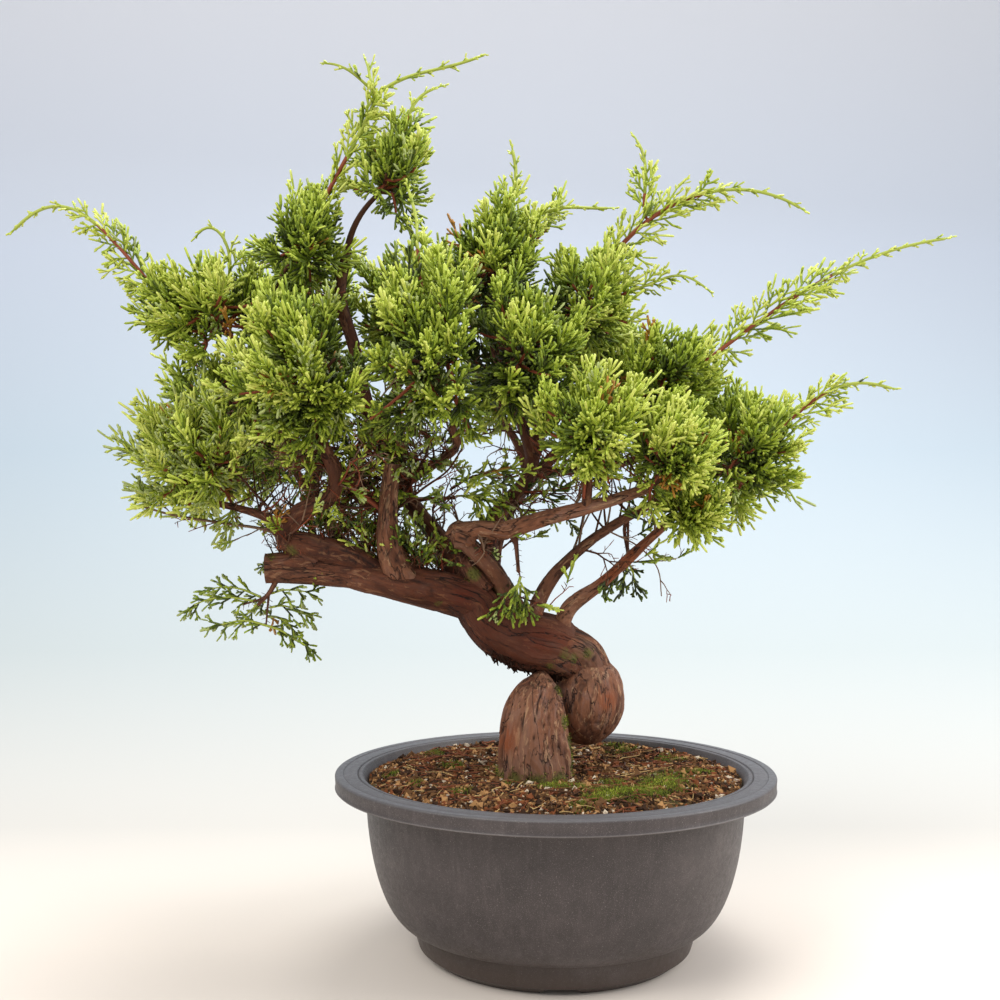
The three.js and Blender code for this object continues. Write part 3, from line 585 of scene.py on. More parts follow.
def bark_material():
    """Bark on coordinates that run along each limb: fissures, peeling strips, stripped wood and moss, with
    painted shade in the fissures and hollows.
    """
    look = Look("bark", (110, 78, 62), 0.8, 0.3)
    grain = look.attribute("grain", "Vector")
    patches = look.fibres(grain, 0.08, 0.035, 6, 0.68, 0.6)
    fibre = look.fibres(grain, 1.0, 0.16, 7, 0.75, 0.6)
    plates = look.fibres(grain, 0.075, 0.015, 5, 0.54, 0.3)
    second = look.fibres(grain, 0.1, 0.013, 4, 0.5, 0.3)
    flakes = look.fibres(grain, 0.28, 0.08, 6, 0.72, 0.8)
    speckle = look.noise(grain, 0.8, 5, 0.8)

    raised = look.span(plates, PLATE_LEVEL, PLATE_LEVEL + 0.012)
    rim = look.figure(look.figure(plates, PLATE_LEVEL - 0.002, "SUBTRACT"), 0.0, "ABSOLUTE")
    seam = look.figure(look.figure(second, CRACK_LEVEL, "SUBTRACT"), 0.0, "ABSOLUTE")
    lines = (look.span(rim, 0.002, 0.008, 0.95, 0.0), look.span(seam, 0.001, 0.005, 0.7, 0.0))
    crack = look.figure(*lines, "MAXIMUM")
    crack = look.figure(crack, look.span(patches, 0.36, 0.5, 0.15, 1.0))
    strip = look.figure(look.attribute("strip"), look.span(flakes, 0.4, 0.5, 0.3, 1.4))
    moss = look.figure(look.attribute("moss"), 1.2)
    moss = look.figure(moss, look.figure(speckle, -1.0, "ADD"), "ADD")
    moss = look.figure(look.span(moss, 0.1, 0.5), 0.85)

    shade = look.ramp(patches, BARK_SHADES)
    shade = look.blend(look.span(fibre, 0.36, 0.6, 0.4, 0.0), shade, (70, 43, 33))
    shade = look.blend(look.figure(raised, 0.4), shade, (146, 104, 80))
    shade = look.blend(look.span(flakes, 0.56, 0.6, 0.0, 0.55), shade, (196, 158, 120))
    shade = look.blend(strip, shade, look.blend(fibre, (170, 98, 58), (104, 52, 32)))
    shade = look.blend(crack, shade, (47, 29, 22))
    shade = look.blend(look.attribute("dark"), shade, (150, 108, 84), "MULTIPLY")
    # Painted shade in the fissures and hollows, over the darker bark deep in them
    shade = look.blend(look.span(look.attribute("recess_dark_and_shade"), 0.0, 1.0, 0.0, 0.92), shade, (24, 15, 12))
    shade = look.blend(look.attribute("cut"), shade, (150, 140, 116))
    shade = look.blend(moss, shade, look.blend(speckle, (34, 38, 14), (116, 118, 46)))
    look.link(shade, "Base Color")

    look.link(look.span(fibre, 0.3, 0.7, 0.58, 0.85), "Roughness")
    height = look.figure(look.figure(fibre, 0.6), look.figure(flakes, 0.5), "ADD")
    height = look.figure(height, look.figure(raised, 0.7), "ADD")
    height = look.figure(height, look.figure(crack, 0.9), "SUBTRACT")
    look.link(look.bump(height, 0.9), "Normal")
    return look.material


# Pot
BODY_CURVE = 0.52
WALL_POINTS = 34
INNER_POINTS = 22
RIM_EDGE = 1.3
RIM_EDGE_POINTS = 6
MOUTH_DROP = 0.8
FLOOR_FILLET = 4.0
SHARP_ANGLE = 35


def body_radius(z):
    share = (z - FOOT_HEIGHT) / (SHOULDER - FOOT_HEIGHT)
    return LEDGE_RADIUS + (SHOULDER_RADIUS - LEDGE_RADIUS) * (1 - (1 - share) ** 2) ** BODY_CURVE


def inside_radius(z):
    if z <= SHOULDER:
        return body_radius(z) - WALL
    return lerp(SHOULDER_RADIUS - WALL, MOUTH_RADIUS, (z - SHOULDER) / (POT_HEIGHT - MOUTH_DROP - SHOULDER))


def offsets(radius, height, steps):
    """Points of a profile, given from one radius and height."""
    return [(radius + out, height + up) for out, up in steps]


def pot_profile():
    """Radius and height round the pot's section, from the axis under the pot to the axis in it."""
    floor, body_top = FLOOR_TOP + FLOOR_FILLET, SHOULDER - MOUTH_DROP
    wall = [FOOT_HEIGHT + s * (body_top - FOOT_HEIGHT) for s in np.linspace(0.004, 1, WALL_POINTS) ** 1.3]
    inner = [floor + s * (SHOULDER - FLOOR_TOP - FLOOR_FILLET) for s in np.linspace(1, 0.1, INNER_POINTS)]
    ring_inside = FOOT_BOTTOM_RADIUS - FOOT_RING_WIDTH
    rim_x, rim_z = RIM_RADIUS - RIM_EDGE, POT_HEIGHT - RIM_EDGE
    rim_arc = [(rim_x + RIM_EDGE * math.cos(a), rim_z + RIM_EDGE * math.sin(a))
               for a in np.linspace(0, math.pi / 2, RIM_EDGE_POINTS)]
    return [
        (0, 0),
        *offsets(PAD_RADIUS, 0, [(-0.6, 0), (0, 0.6)]),
        *offsets(PAD_RADIUS, FLOOR_UNDERSIDE, [(1, 0)]),
        *offsets(ring_inside, FLOOR_UNDERSIDE, [(-1, 0)]),
        *offsets(ring_inside, 0, [(-0.2, 0.8), (0.6, 0)]),
        *offsets(FOOT_BOTTOM_RADIUS, 0, [(-0.8, 0), (0, 0.7)]),
        *offsets(FOOT_RADIUS, 0, [(-2.2, 4.6), (-1.1, 8)]),
        *offsets(FOOT_RADIUS, FOOT_HEIGHT, [(-0.3, -3), (0, -1.4), (0.5, -0.7)]),
        *offsets(LEDGE_RADIUS, FOOT_HEIGHT, [(-0.4, -0.1)]),
        *[(body_radius(z), z) for z in wall],
        *offsets(SHOULDER_RADIUS, SHOULDER, [(0.6, -0.2)]),
        *offsets(RIM_RADIUS, SHOULDER, [(-2, 0), (-0.5, 0.2), (0, 0.7), (-0.35, 1.3), (-0.25, 4)]),
        *rim_arc,
        *offsets(RIM_STEP_RADIUS, POT_HEIGHT, [(0.6, 0), (0, -0.5), (-0.8, -0.15)]),
        *offsets(RIM_GROOVE_RADIUS, POT_HEIGHT, [(0.7, -0.3), (0, -1.1), (-0.7, -0.5)]),
        *offsets(MOUTH_RADIUS, POT_HEIGHT, [(0.7, -0.6), (0, -1.2)]),
        *[(inside_radius(z), z) for z in inner],
        *offsets(FOOT_RADIUS - WALL, FLOOR_TOP, [(0, FLOOR_FILLET), (-1.5, 1.2), (-6, 0)]),
        (0, FLOOR_TOP),
    ]


def lathe(profile, segments):
    """Points and faces of a profile turned round the Z axis, from the axis back to the axis."""
    inner = np.array(profile[1:-1], float)
    angles = circle_angles(segments)
    rings = np.stack([
        inner[:, None, 0] * np.cos(angles), inner[:, None, 0] * np.sin(angles),
        np.repeat(inner[:, 1:], segments, 1)], -1).reshape(-1, 3)
    points = np.vstack([rings, (0, 0, profile[0][1]), (0, 0, profile[-1][1])])
    return points, list(tube_faces(len(inner), segments))


def prism(outline, low, high):
    """A closed prism over an outline in X and Z, from one Y to another."""
    count = len(outline)
    points = np.array([(x, y, z) for y in (low, high) for x, z in outline])
    side = np.arange(count)
    walls = np.stack([side, side + count, (side + 1) % count + count, (side + 1) % count], -1)
    return points, [walls, side[None], (2 * count - 1 - side)[None]]


def cut_with(piece, cutters):
    """Takes closed shapes out of a piece."""
    for points, faces in cutters:
        tool = make_piece("cutter", points, faces, [], smooth=False)
        change = piece.modifiers.new("cut", "BOOLEAN")
        change.object = tool
        change.operation = "DIFFERENCE"
        change.solver = "EXACT"
        bpy.context.view_layer.update()
        cut = bpy.data.meshes.new_from_object(piece.evaluated_get(bpy.context.evaluated_depsgraph_get()))
        piece.modifiers.clear()
        piece.data = cut
        bpy.data.objects.remove(tool)


def turned(points, angle):
    cosine, sine = math.cos(angle), math.sin(angle)
    return points @ np.array([(cosine, sine, 0), (-sine, cosine, 0), (0, 0, 1)])


def notch_cutters():
    """Wedges that open the foot ring."""
    low, high = NOTCH["bottom"] / 2, NOTCH["top"] / 2
    outline = [(-low, -1), (low, -1), (high, NOTCH["height"]), (-high, NOTCH["height"])]
    near = -FOOT_BOTTOM_RADIUS - NOTCH["depth"] / 2
    shape, faces = prism(outline, near, near + NOTCH["depth"])
    return [(turned(shape, i * 2 * math.pi / NOTCH["count"]), faces) for i in range(NOTCH["count"])]


def drain_cutters():
    """Round rods through the floor."""
    low, high = FLOOR_UNDERSIDE - DRAIN["beyond"], FLOOR_TOP + DRAIN["beyond"]
    profile = [(0, low), (DRAIN["radius"], low), (DRAIN["radius"], high), (0, high)]
    shape, faces = lathe(profile, DRAIN["sides"])
    angles = [(i + 0.5) * 2 * math.pi / DRAIN["count"] for i in range(DRAIN["count"])]
    return [(shape + vec(math.cos(a), math.sin(a), 0) * DRAIN["ring"], faces) for a in angles]


def make_pot():
    points, faces = lathe(pot_profile(), POT_SEGMENTS)
    pot = make_piece("pot_shell", points, faces, [pot_material()])
    cut_with(pot, notch_cutters() + drain_cutters())
    pot.data.set_sharp_from_angle(angle=math.radians(SHARP_ANGLE))
    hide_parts("pot")


# Soil
MOSS_PATCHES = [(40, -62, 22), (58, -45, 16), (20, -70, 14), (62, -20, 17), (8, -42, 12), (30, -30, 9),
                (-6, -38, 9), (-26, -34, 8), (-52, -58, 9), (-78, -38, 8), (-60, 10, 12), (70, 30, 14),
                (44, 62, 15), (-20, 70, 13), (-70, 50, 10), (85, -8, 9), (-92, -12, 7), (10, -92, 8),
                (4, 30, 10), (-34, 8, 8)]
SOIL_GRID = {"rings": 56, "sides": 180, "inner_radius": 1.5, "skirt": 5.0}
SOIL_LIFT = 0.2
CRUMBS = {"height": 0.8, "size": 9, "layers": 3, "seed": 5}
TRUNK_MARGIN = 1.5


def soil_height(points):
    """The source's low mounds between the trunk's foot and the edge, with crumbs on them."""
    x, y = points[..., 0], points[..., 1]
    radius = np.hypot(x, y)
    mound = SOIL_MOUND["rise"] + SOIL_MOUND["height"] * np.sin(x / SOIL_MOUND["length_x"]) * np.cos(
        y / SOIL_MOUND["length_y"])
    mound = mound * smoothstep(SOIL_SEAT_RADIUS, SOIL_RINGS[0], radius)
    fall = smoothstep(SOIL_RINGS[1], SOIL_RADIUS, radius)
    crumbs = layered_noise(np.stack([x / CRUMBS["size"], y / CRUMBS["size"], 0 * radius], -1),
                           CRUMBS["layers"], CRUMBS["seed"])
    return lerp(SOIL_CROWN + mound, SOIL_EDGE, fall) + SOIL_LIFT + CRUMBS["height"] * crumbs


def moss_amount(points):
    amount = 0
    for x, y, radius in MOSS_PATCHES:
        amount = amount + np.exp(-((points[..., 0] - x) ** 2 + (points[..., 1] - y) ** 2) / radius ** 2)
    return amount


def on_soil(count, rng, reach=SOIL_RADIUS):
    """Random places on the soil, clear of the trunk's foot."""
    radius = reach * np.sqrt(rng.random(count))
    angle = 2 * math.pi * rng.random(count)
    spots = np.stack([radius * np.cos(angle), radius * np.sin(angle)], -1)
    foot_x, foot_y, _ = COLUMN["path"][0]
    return spots[np.hypot(spots[:, 0] - foot_x, spots[:, 1] - foot_y) > COLUMN["radius"] + TRUNK_MARGIN]


def random_turns(count, rng):
    """Random rotation matrices."""
    first = unit(rng.normal(size=(count, 3)))
    second = unit(np.cross(first, unit(rng.normal(size=(count, 3)))))
    return np.stack([first, second, np.cross(first, second)], 1)


def octahedron():
    points = np.array([(1, 0, 0), (0, 1, 0), (-1, 0, 0), (0, -1, 0), (0, 0, 1), (0, 0, -1)], float)
    return points, np.vstack([cap_faces(0, 4, 4, False), cap_faces(0, 4, 5, True)])


def make_soil():
    rings, sides, bottom = SOIL_GRID["rings"], SOIL_GRID["sides"], SOIL_EDGE - SOIL_GRID["skirt"]
    radius = np.linspace(SOIL_GRID["inner_radius"], SOIL_RADIUS, rings)[:, None]
    angle = circle_angles(sides)
    flat = np.stack([radius * np.cos(angle), radius * np.sin(angle)], -1)
    top = np.concatenate([flat, soil_height(flat)[..., None]], -1).reshape(-1, 3)
    skirt = top[-sides:] * (1, 1, 0) + (0, 0, bottom)
    points = np.vstack([top, skirt, (0, 0, SOIL_CROWN + 0.5), (0, 0, bottom)])
    soil = soil_material()
    faces = [part[:, ::-1] for part in tube_faces(rings + 1, sides)]
    make_piece("soil_surface", points, faces, [soil])
    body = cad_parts["soil"]
    body.data.materials.clear()
    body.data.materials.append(soil)
    make_granules()
    make_moss()
    make_litter()


# Granules: name, colour and share of all
GRANULE_TONES = [("brown", (102, 72, 46), 0.36), ("umber", (52, 35, 24), 0.29), ("tan", (168, 126, 82), 0.19),
                 ("rust", (120, 70, 42), 0.11), ("pumice", (196, 180, 158), 0.05)]
GRANULES = 24500
GRANULE_SIZE = {"spread": 0.42, "least": 0.45, "most": 3.0, "rough": 0.2, "flat": (0.65, 1.15),
                "sunk": (-0.35, 0.5)}


def make_granules():
    """Angular grains of many sizes, half sunk into the soil."""
    rng = random_stream("granules")
    spots = on_soil(GRANULES, rng)
    count = len(spots)
    size = np.exp(rng.normal(0, GRANULE_SIZE["spread"], count))
    size = np.clip(size, GRANULE_SIZE["least"], GRANULE_SIZE["most"])
    base, faces = octahedron()
    shape = base[None] * (1 + GRANULE_SIZE["rough"] * rng.normal(size=(count, len(base), 1)))
    shape = shape * (size[:, None, None] * rng.uniform(*GRANULE_SIZE["flat"], (count, 1, 3)))
    shape = np.einsum("nij,njk->nik", shape, random_turns(count, rng))
    height = soil_height(spots) + size * rng.uniform(*GRANULE_SIZE["sunk"], count)
    points = shape + np.column_stack([spots, height])[:, None]
    inside = np.hypot(points[..., 0], points[..., 1]).max(1) < inside_radius(SOIL_EDGE) - GAP
    tone = rng.choice(len(GRANULE_TONES), count, p=[share for *_, share in GRANULE_TONES])
    materials = tone_materials("granule", [row[:2] for row in GRANULE_TONES], 0.95, 0.15)
    all_faces = copied_faces(faces, inside.sum(), len(base))
    make_piece("soil_granules", points[inside].reshape(-1, 3), all_faces, materials, smooth=False,
               faces_material=np.repeat(tone[inside], len(faces)))


def spikes(roots, tips, radii):
    """Thin three-sided cones from roots to tips: points and faces."""
    along = unit(tips - roots)
    helper = np.where(np.abs(along[:, 2:]) < 0.9, vec(0, 0, 1), vec(1, 0, 0))
    ring = rings_round(roots, radii, *pair_across(along, helper), 3)
    points = np.concatenate([ring, tips[:, None]], 1)
    cone = [cap_faces(0, 3, 3, False), np.array([[2, 1, 0]])]
    return points.reshape(-1, 3), [copied_faces(part, len(roots), 4) for part in cone]


def make_spikes(name, roots, tips, radii, tone):
    """A piece of cones, each with its moss tone."""
    points, faces = spikes(roots, tips, radii)
    materials = [bpy.data.materials[f"moss_{shade}"] for shade, _ in MOSS_TONES]
    picked = np.concatenate([np.repeat(tone, 3), tone])
    make_piece(name, points, faces, materials, faces_material=picked)


MOSS_TONES = [("deep", (50, 58, 16)), ("mid", (104, 114, 34)), ("bright", (170, 178, 62))]
MOSS_LEAVES = 76000
MOSS = {"lean": 0.55, "length": (1.1, 3.0), "radius": (0.16, 0.3), "cushion": 1.4, "most": 1.3, "patch": 4.5,
        "seed": 8, "thin": 0.35, "least": 0.42, "chance": 0.45}


def make_moss():
    """Short green leaves in cushions on the soil and round the trunk's foot."""
    rng = random_stream("moss")
    tone_materials("moss", MOSS_TONES, 0.8, 0.2)
    spots = on_soil(MOSS_LEAVES, rng)
    amount = moss_amount(spots)
    patch = noise(np.column_stack([spots / MOSS["patch"], np.zeros(len(spots))]), MOSS["seed"])
    thick = MOSS["thin"] + 0.5 + 0.5 * patch
    grows = amount * thick > MOSS["least"] + MOSS["chance"] * rng.random(len(spots))
    spots, amount = spots[grows], amount[grows]
    count = len(spots)
    lift = np.clip(amount, 0, MOSS["most"]) * MOSS["cushion"] * rng.random(count)
    roots = np.column_stack([spots, soil_height(spots) + lift])
    lean = np.column_stack([rng.normal(0, MOSS["lean"], (count, 2)), np.ones(count)])
    tips = roots + unit(lean) * rng.uniform(*MOSS["length"], (count, 1))
    radii = rng.uniform(*MOSS["radius"], count)
    tone = np.clip((0.8 * amount + 1.2 * rng.random(count)).astype(int), 0, 2)
    make_spikes("moss", roots, tips, radii, tone)


LITTER_TONES = [("red", (124, 70, 46)), ("brown", (78, 52, 36)), ("straw", (182, 152, 100))]
LITTER_TWIGS = 640
LITTER = {"short": (5, 15), "long": (18, 34), "short_share": 0.9, "bend": 0.35, "pieces": 4, "edge": 6,
          "stop": 2, "lift": 1.2, "thick": (0.25, 0.5), "taper": 0.45, "shares": (0.5, 0.3, 0.2)}


def make_litter():
    """Fallen twigs and dead shoots on the soil."""
    rng = random_stream("litter")
    strands = StrandMesh(4)
    pieces = LITTER["pieces"]
    for spot in on_soil(LITTER_TWIGS, rng, SOIL_RADIUS - LITTER["edge"]):
        length = rng.uniform(*LITTER["short" if rng.random() < LITTER["short_share"] else "long"])
        heading = rng.random() * 2 * math.pi
        turn = rng.normal(0, LITTER["bend"], pieces).cumsum()
        steps = np.stack([np.cos(heading + turn), np.sin(heading + turn)], -1) * length / pieces
        flat = np.vstack([spot, spot + np.cumsum(steps, 0)])
        far = np.hypot(flat[:, 0], flat[:, 1])
        flat = flat * np.minimum(1, (SOIL_RADIUS - LITTER["stop"]) / far)[:, None]
        line = np.column_stack([flat, soil_height(flat) + LITTER["lift"] + rng.uniform(0, 1.0)])
        thick = rng.uniform(*LITTER["thick"])
        radii = np.linspace(thick, thick * LITTER["taper"], pieces + 1)
        strands.add(line, radii, rng.choice(3, p=LITTER["shares"]))
    strands.make("soil_litter", tone_materials("litter", LITTER_TONES, 0.85, 0.2), "soil")


class StrandMesh(TubeMesh):
    """Thin tubes along lines, each with one tone."""

    def __init__(self, sides):
        super().__init__()
        self.sides = sides
        self.tones = []

    def add(self, line, radii, tone=0):
        line = np.asarray(line, float)
        tangents, across, other = frames_along(line)
        rings = rings_round(line, radii, across, other, self.sides)
        self.put(rings, line[0] - tangents[0] * radii[0] * 0.5, line[-1] + tangents[-1] * radii[-1])
        self.tones.append(tone)

    def make(self, name, materials, slot):
        tones = [np.repeat(self.tones, [len(faces) for faces in part]) for part in (self.walls, self.ends)]
        picked = np.concatenate(tones)
        make_piece(name, np.vstack(self.points), self.faces(), materials, faces_material=picked)


# Bark
MOSS_ON_BARK = [((-2, -16, 160), 6), ((4, -14, 150), 6), ((6, -18, 132), 6), ((9, -16, 119), 7),
                ((10, -15, 107), 9), ((-11, -31, 100), 8), ((-30, -14, 100), 8), ((-120, -16, 232), 7),
                ((-24, -28, 100), 8), ((2, -30, 100), 8), ((20, -6, 168), 6), ((4, -8, 168), 6),
                ((-104, -16, 228), 6), ((-78, -12, 222), 5), ((-46, -16, 214), 6), ((-30, -10, 206), 6),
                ((-146, -22, 229), 6), ((-158, -20, 222), 4), ((30, 10, 102), 7), ((-66, -18, 196), 4),
                ((12, -8, 166), 5), ((-12, 10, 176), 7), ((24, 30, 124), 8)]
STRIPPED = [((-6, -18, 178), 10), ((6, -14, 176), 8), ((30, -12, 213), 9), ((40, -18, 222), 10),
            ((50, -26, 232), 10), ((-104, -4, 300), 12), ((-122, -12, 280), 14), ((31, -6, 141), 6),
            ((-28, -22, 122), 8), ((-52, -20, 203), 5), ((-88, -20, 244), 5)]
# How dark the bark is on limbs that aren't of the common shade
DARKNESS = {"column": 0.15, "bulge": 0.1, "shoulder": 0.35, "bough_front_right": 0.1, "bough_front_root": 0.5,
            "stub_front": 0.25, "bough_right_low": 0.1, "bough_right_mid": 0.4, "bough_centre": 0.5,
            "knob": 0.1}
COMMON_DARKNESS = 0.75
RISE_DARKNESS = [0.5, 0.6, 0.95, 0.95, 0.75, 0.6, 0.6]
# The rise leaves the bulge from behind it, so it starts slimmer and further back than the solid's axis
RISE_BEHIND = (6, 6, 4, 0, 0, 0, 0)
RISE_HIGHER = (0, 0, 0.5, 1.2, 1.5, 1.4, 0)
RISE_SLIMMER = (5, 4, 2, 1.2, 1.4, 1.4, 0)
# Noise in the bark: size across the limb and along it, layers and seed
BARK_NOISE = {"warp": (0.07, 0.03, 2, 41), "crack": (0.11, 0.014, 3, 11), "gaps": (0.06, 0.012, 1, 17),
              "plates": (0.13, 0.022, 3, 23), "edges": (0.09, 0.09, 1, 29), "fibre": (1.0, 0.12, 3, 31),
              "lumps": (0.05, 0.035, 2, 37)}
# Between which values of its noise each form of the bark grows
FORMS = {"fissure": (0.0, 0.035), "fissured": (-0.1, 0.3), "plate": (0.0, 0.05), "upper_plate": (0.22, 0.26),
         "edge": (0.05, 0.0), "edged": (-0.2, 0.3), "hollow": (0.05, -0.35)}
# How far each form stands out in millimetres, and how dark the deep ones are painted: the darker bark in them
# together with painted shade
OUT = {"plate": 0.8, "fibre": 0.25, "fissure": -1.5, "lump": 2.6, "all": -0.4}
DEPTHS = {"fissure": 0.95, "edge": 0.5, "hollow": 0.2}
CRACK_WARP, PLATE_WARP = 0.7, 0.5
MORE_FISSURES = 0.12
EDGE_BESIDE = 0.02
FLAT_BARK = 0.35
FULL_BARK_RADIUS = 18
BARK_SCALES = (0.12, 1.15)
# Long ridges round a limb: how many, their share of the flutes' height, and the length of their twist
RIDGES = ((3, 1.0, 21), (5, 0.6, -30))
CUT = {"inner": 0.86, "rim": 0.25, "heart": 0.1}
BURIED = 0.6


def blob_amount(points, blobs):
    amount = 0
    for centre, radius in blobs:
        distance = np.linalg.norm(points - vec(*centre), axis=-1)
        amount = np.maximum(amount, np.exp(-(distance / radius) ** 2))
    return amount


def rise_line():
    """The rise as the bark follows it: its path and its radii."""
    path = [(x, y + back, z + up) for (x, y, z), back, up in zip(RISE["path"], RISE_BEHIND, RISE_HIGHER)]
    return path, np.array(RISE["radii"]) - RISE_SLIMMER


class BarkMesh(TubeMesh):
    """Limbs as tubes with bark relief, and at each point their grain, fissures darkened with painted shade,
    cut faces and darkness.
    """

    def __init__(self):
        super().__init__()
        self.values = {"grain": [], "recess_dark_and_shade": [], "cut": [], "dark": []}

    def add(self, line, radii, sides, shift, relief=1.0, cut_end=False, flutes=0.03, dark=COMMON_DARKNESS):
        line, radii = np.asarray(line, float), np.asarray(radii, float)
        tangents, across, other = frames_along(line)
        lengths, angles = lengths_along(line)[:, None], circle_angles(sides)
        grain = np.stack([radii[:, None] * np.cos(angles), radii[:, None] * np.sin(angles),
                          np.repeat(lengths, sides, 1)], -1) + vec(*shift)
        height, recess_dark_and_shade = bark_relief(grain, radii[:, None], relief)
        ridge = 1
        for number, share, twist in RIDGES:
            ridge = ridge + share * flutes * np.sin(number * angles + lengths / twist)
        rings = rings_round(line, radii[:, None] * ridge + height, across, other, sides)
        cut = np.zeros(recess_dark_and_shade.shape)
        end = line[-1] + tangents[-1] * (CUT["heart"] if cut_end else radii[-1])
        if cut_end:
            inner = line[-1] + (rings[-1] - line[-1]) * CUT["inner"] + tangents[-1] * CUT["rim"]
            rings = np.concatenate([rings, inner[None]])
            grain = np.concatenate([grain, grain[-1:]])
            recess_dark_and_shade = np.concatenate([recess_dark_and_shade, np.zeros((1, sides))])
            cut = np.concatenate([cut, np.ones((1, sides))])
        self.put(rings, line[0], end)
        shades = spread_over(dark, len(rings))
        ends = np.stack([grain[0].mean(0), grain[-1].mean(0)])
        self.values["grain"].append(np.vstack([grain.reshape(-1, 3), ends]))
        self.values["recess_dark_and_shade"].append(np.append(recess_dark_and_shade, [0, 0]))
        self.values["cut"].append(np.append(cut, [0, float(cut_end)]))
        self.values["dark"].append(np.append(np.repeat(shades, sides), shades[[0, -1]]))

    def make(self, name, material):
        points = np.vstack(self.points)
        points[:, 2] = np.maximum(points[:, 2], GROUND - BURIED)
        piece = make_piece(name, points, self.faces(), [material])
        for value, parts in self.values.items():
            add_attribute(piece, value, np.concatenate(parts))
        add_attribute(piece, "moss", blob_amount(points, MOSS_ON_BARK))
        add_attribute(piece, "strip", blob_amount(points, STRIPPED))
        return piece


def bark_noise(kind, grain, stretch=1.0, shift=0.0):
    across, along, layers, seed = BARK_NOISE[kind]
    return layered_noise(grain * (across, across, along) / stretch + shift, layers, seed)


def form(kind, value):
    return smoothstep(*FORMS[kind], value)


def bark_relief(grain, radius, relief):
    """How far the bark stands out, in millimetres, and how deep in a fissure or hollow each point lies, for
    the darker bark and painted shade there.
    """
    scale = np.clip(radius / FULL_BARK_RADIUS, *BARK_SCALES)
    warp = CRACK_WARP * bark_noise("warp", grain)[..., None]
    crack = np.abs(bark_noise("crack", grain, np.sqrt(scale)[..., None], warp))
    deep = (1 - form("fissure", crack)) * form("fissured", bark_noise("gaps", grain) + MORE_FISSURES)
    plates = bark_noise("plates", grain, shift=PLATE_WARP * warp)
    step = form("plate", plates) + form("upper_plate", plates)
    edge = form("edge", np.abs(plates + EDGE_BESIDE)) * form("edged", bark_noise("edges", grain))
    fibre = bark_noise("fibre", grain)
    height = OUT["plate"] * step + OUT["fibre"] * fibre + OUT["fissure"] * deep
    height = height + OUT["lump"] * bark_noise("lumps", grain) + OUT["all"]
    recess_dark_and_shade = DEPTHS["fissure"] * deep + DEPTHS["edge"] * edge + DEPTHS["hollow"] * form("hollow", fibre)
    return relief * scale * height, np.clip(recess_dark_and_shade, 0, 1) * min(1, FLAT_BARK + (1 - FLAT_BARK) * relief)


def column_radius(t):
    rounding = np.maximum(0, (t - COLUMN["round_from"]) / (COLUMN["round_to"] - COLUMN["round_from"]))
    flare = 1 + COLUMN["flare"] * np.exp(-COLUMN["flare_fall"] * t)
    return COLUMN["radius"] * flare * np.sqrt(np.maximum(COLUMN["least"], 1 - rounding ** 2))


# How much limbs swell at the root, and how far along
COMMON_COLLAR = (0.28, 9.0)
COLLARS = {"bough_right_mid": (0.15, 9.0), "stub_front": (0.75, 13.0), "bough_apex": (0.5, 12.0)}
# Folds of wood that the solids leave out: name, path and radii
FOLDS = [("shoulder", [(2, 3, 173), (11, 6, 170.5), (17, 9, 165), (22, 11, 156)], [11, 11.5, 12, 11.5]),
         ("web", [(-40, -8, 204), (-47, -9, 214), (-53, -8, 224)], [8, 6.5, 4.5]),
         ("fold", [(-98, -12, 216), (-114, -17, 224), (-132, -20, 229), (-146, -20, 233)], [5, 6.5, 7, 6]),
         ("knob", [(-45, -20, 233), (-52, -21, 236), (-57, -21, 237), (-61, -21, 236)], [4.5, 8, 8, 1.5]),
         ("bump", [(-108, -16, 262), (-113, -18, 266), (-119, -20, 268), (-124, -20, 266)], [3, 5, 5, 3])]
# The mesh of the bark: the step along a limb and the points round it
COLUMN_STEP, COLUMN_SIDES = 0.8, 130
BULGE_RINGS, BULGE_SIDES, BULGE_POLE = 70, 126, 0.06
RISE_STEP, RISE_SIDES = 1.12, 100
FOLD_STEP, FOLD_SIDES = 0.8, 36
THICK_BOUGH, THICK_STEP, THIN_STEP = 3.5, 1.25, 1.7
BOUGH_SIDES = (12, 42)
SIDES_FOR_RADIUS = 7
COLUMN_WAIST = 0.12


def add_column(bark):
    line = smooth_line(COLUMN["path"], COLUMN_STEP)
    heights = np.linspace(0, 1, len(line))
    radii = column_radius(heights) * (1 - COLUMN_WAIST * smoothstep(0.3, 0.75, heights))
    bark.add(line, radii, COLUMN_SIDES, (0, 0, 0), flutes=0.04, dark=DARKNESS["column"])


def add_bulge(bark):
    wide, deep, tall = BULGE["size"]
    angles = np.linspace(BULGE_POLE, math.pi - BULGE_POLE, BULGE_RINGS)
    line = vec(*BULGE["centre"]) + np.stack([0 * angles, 0 * angles, -tall * np.cos(angles)], -1)
    bark.add(line, 0.5 * (wide + deep) * np.sin(angles), BULGE_SIDES, (60, 20, 0), 0.45, flutes=0.014,
             dark=DARKNESS["bulge"])


def add_rise_and_limb(bark):
    """The rise and the main limb as one tube, so that their bark runs through."""
    _, limb_root, limb_tip, limb_path = BOUGHS[0]
    path, radii = rise_line()
    line = smooth_line(path + limb_path[1:], RISE_STEP)
    split = len(smooth_line(path, RISE_STEP)) / len(line)
    places = [*np.linspace(0, split, len(radii)), split + 0.03, 1]
    thick = np.interp(np.linspace(0, 1, len(line)), places, [*radii, limb_root, limb_tip])
    bark.add(line, thick, RISE_SIDES, (-70, 40, 30), cut_end=True, flutes=0.05, dark=RISE_DARKNESS)


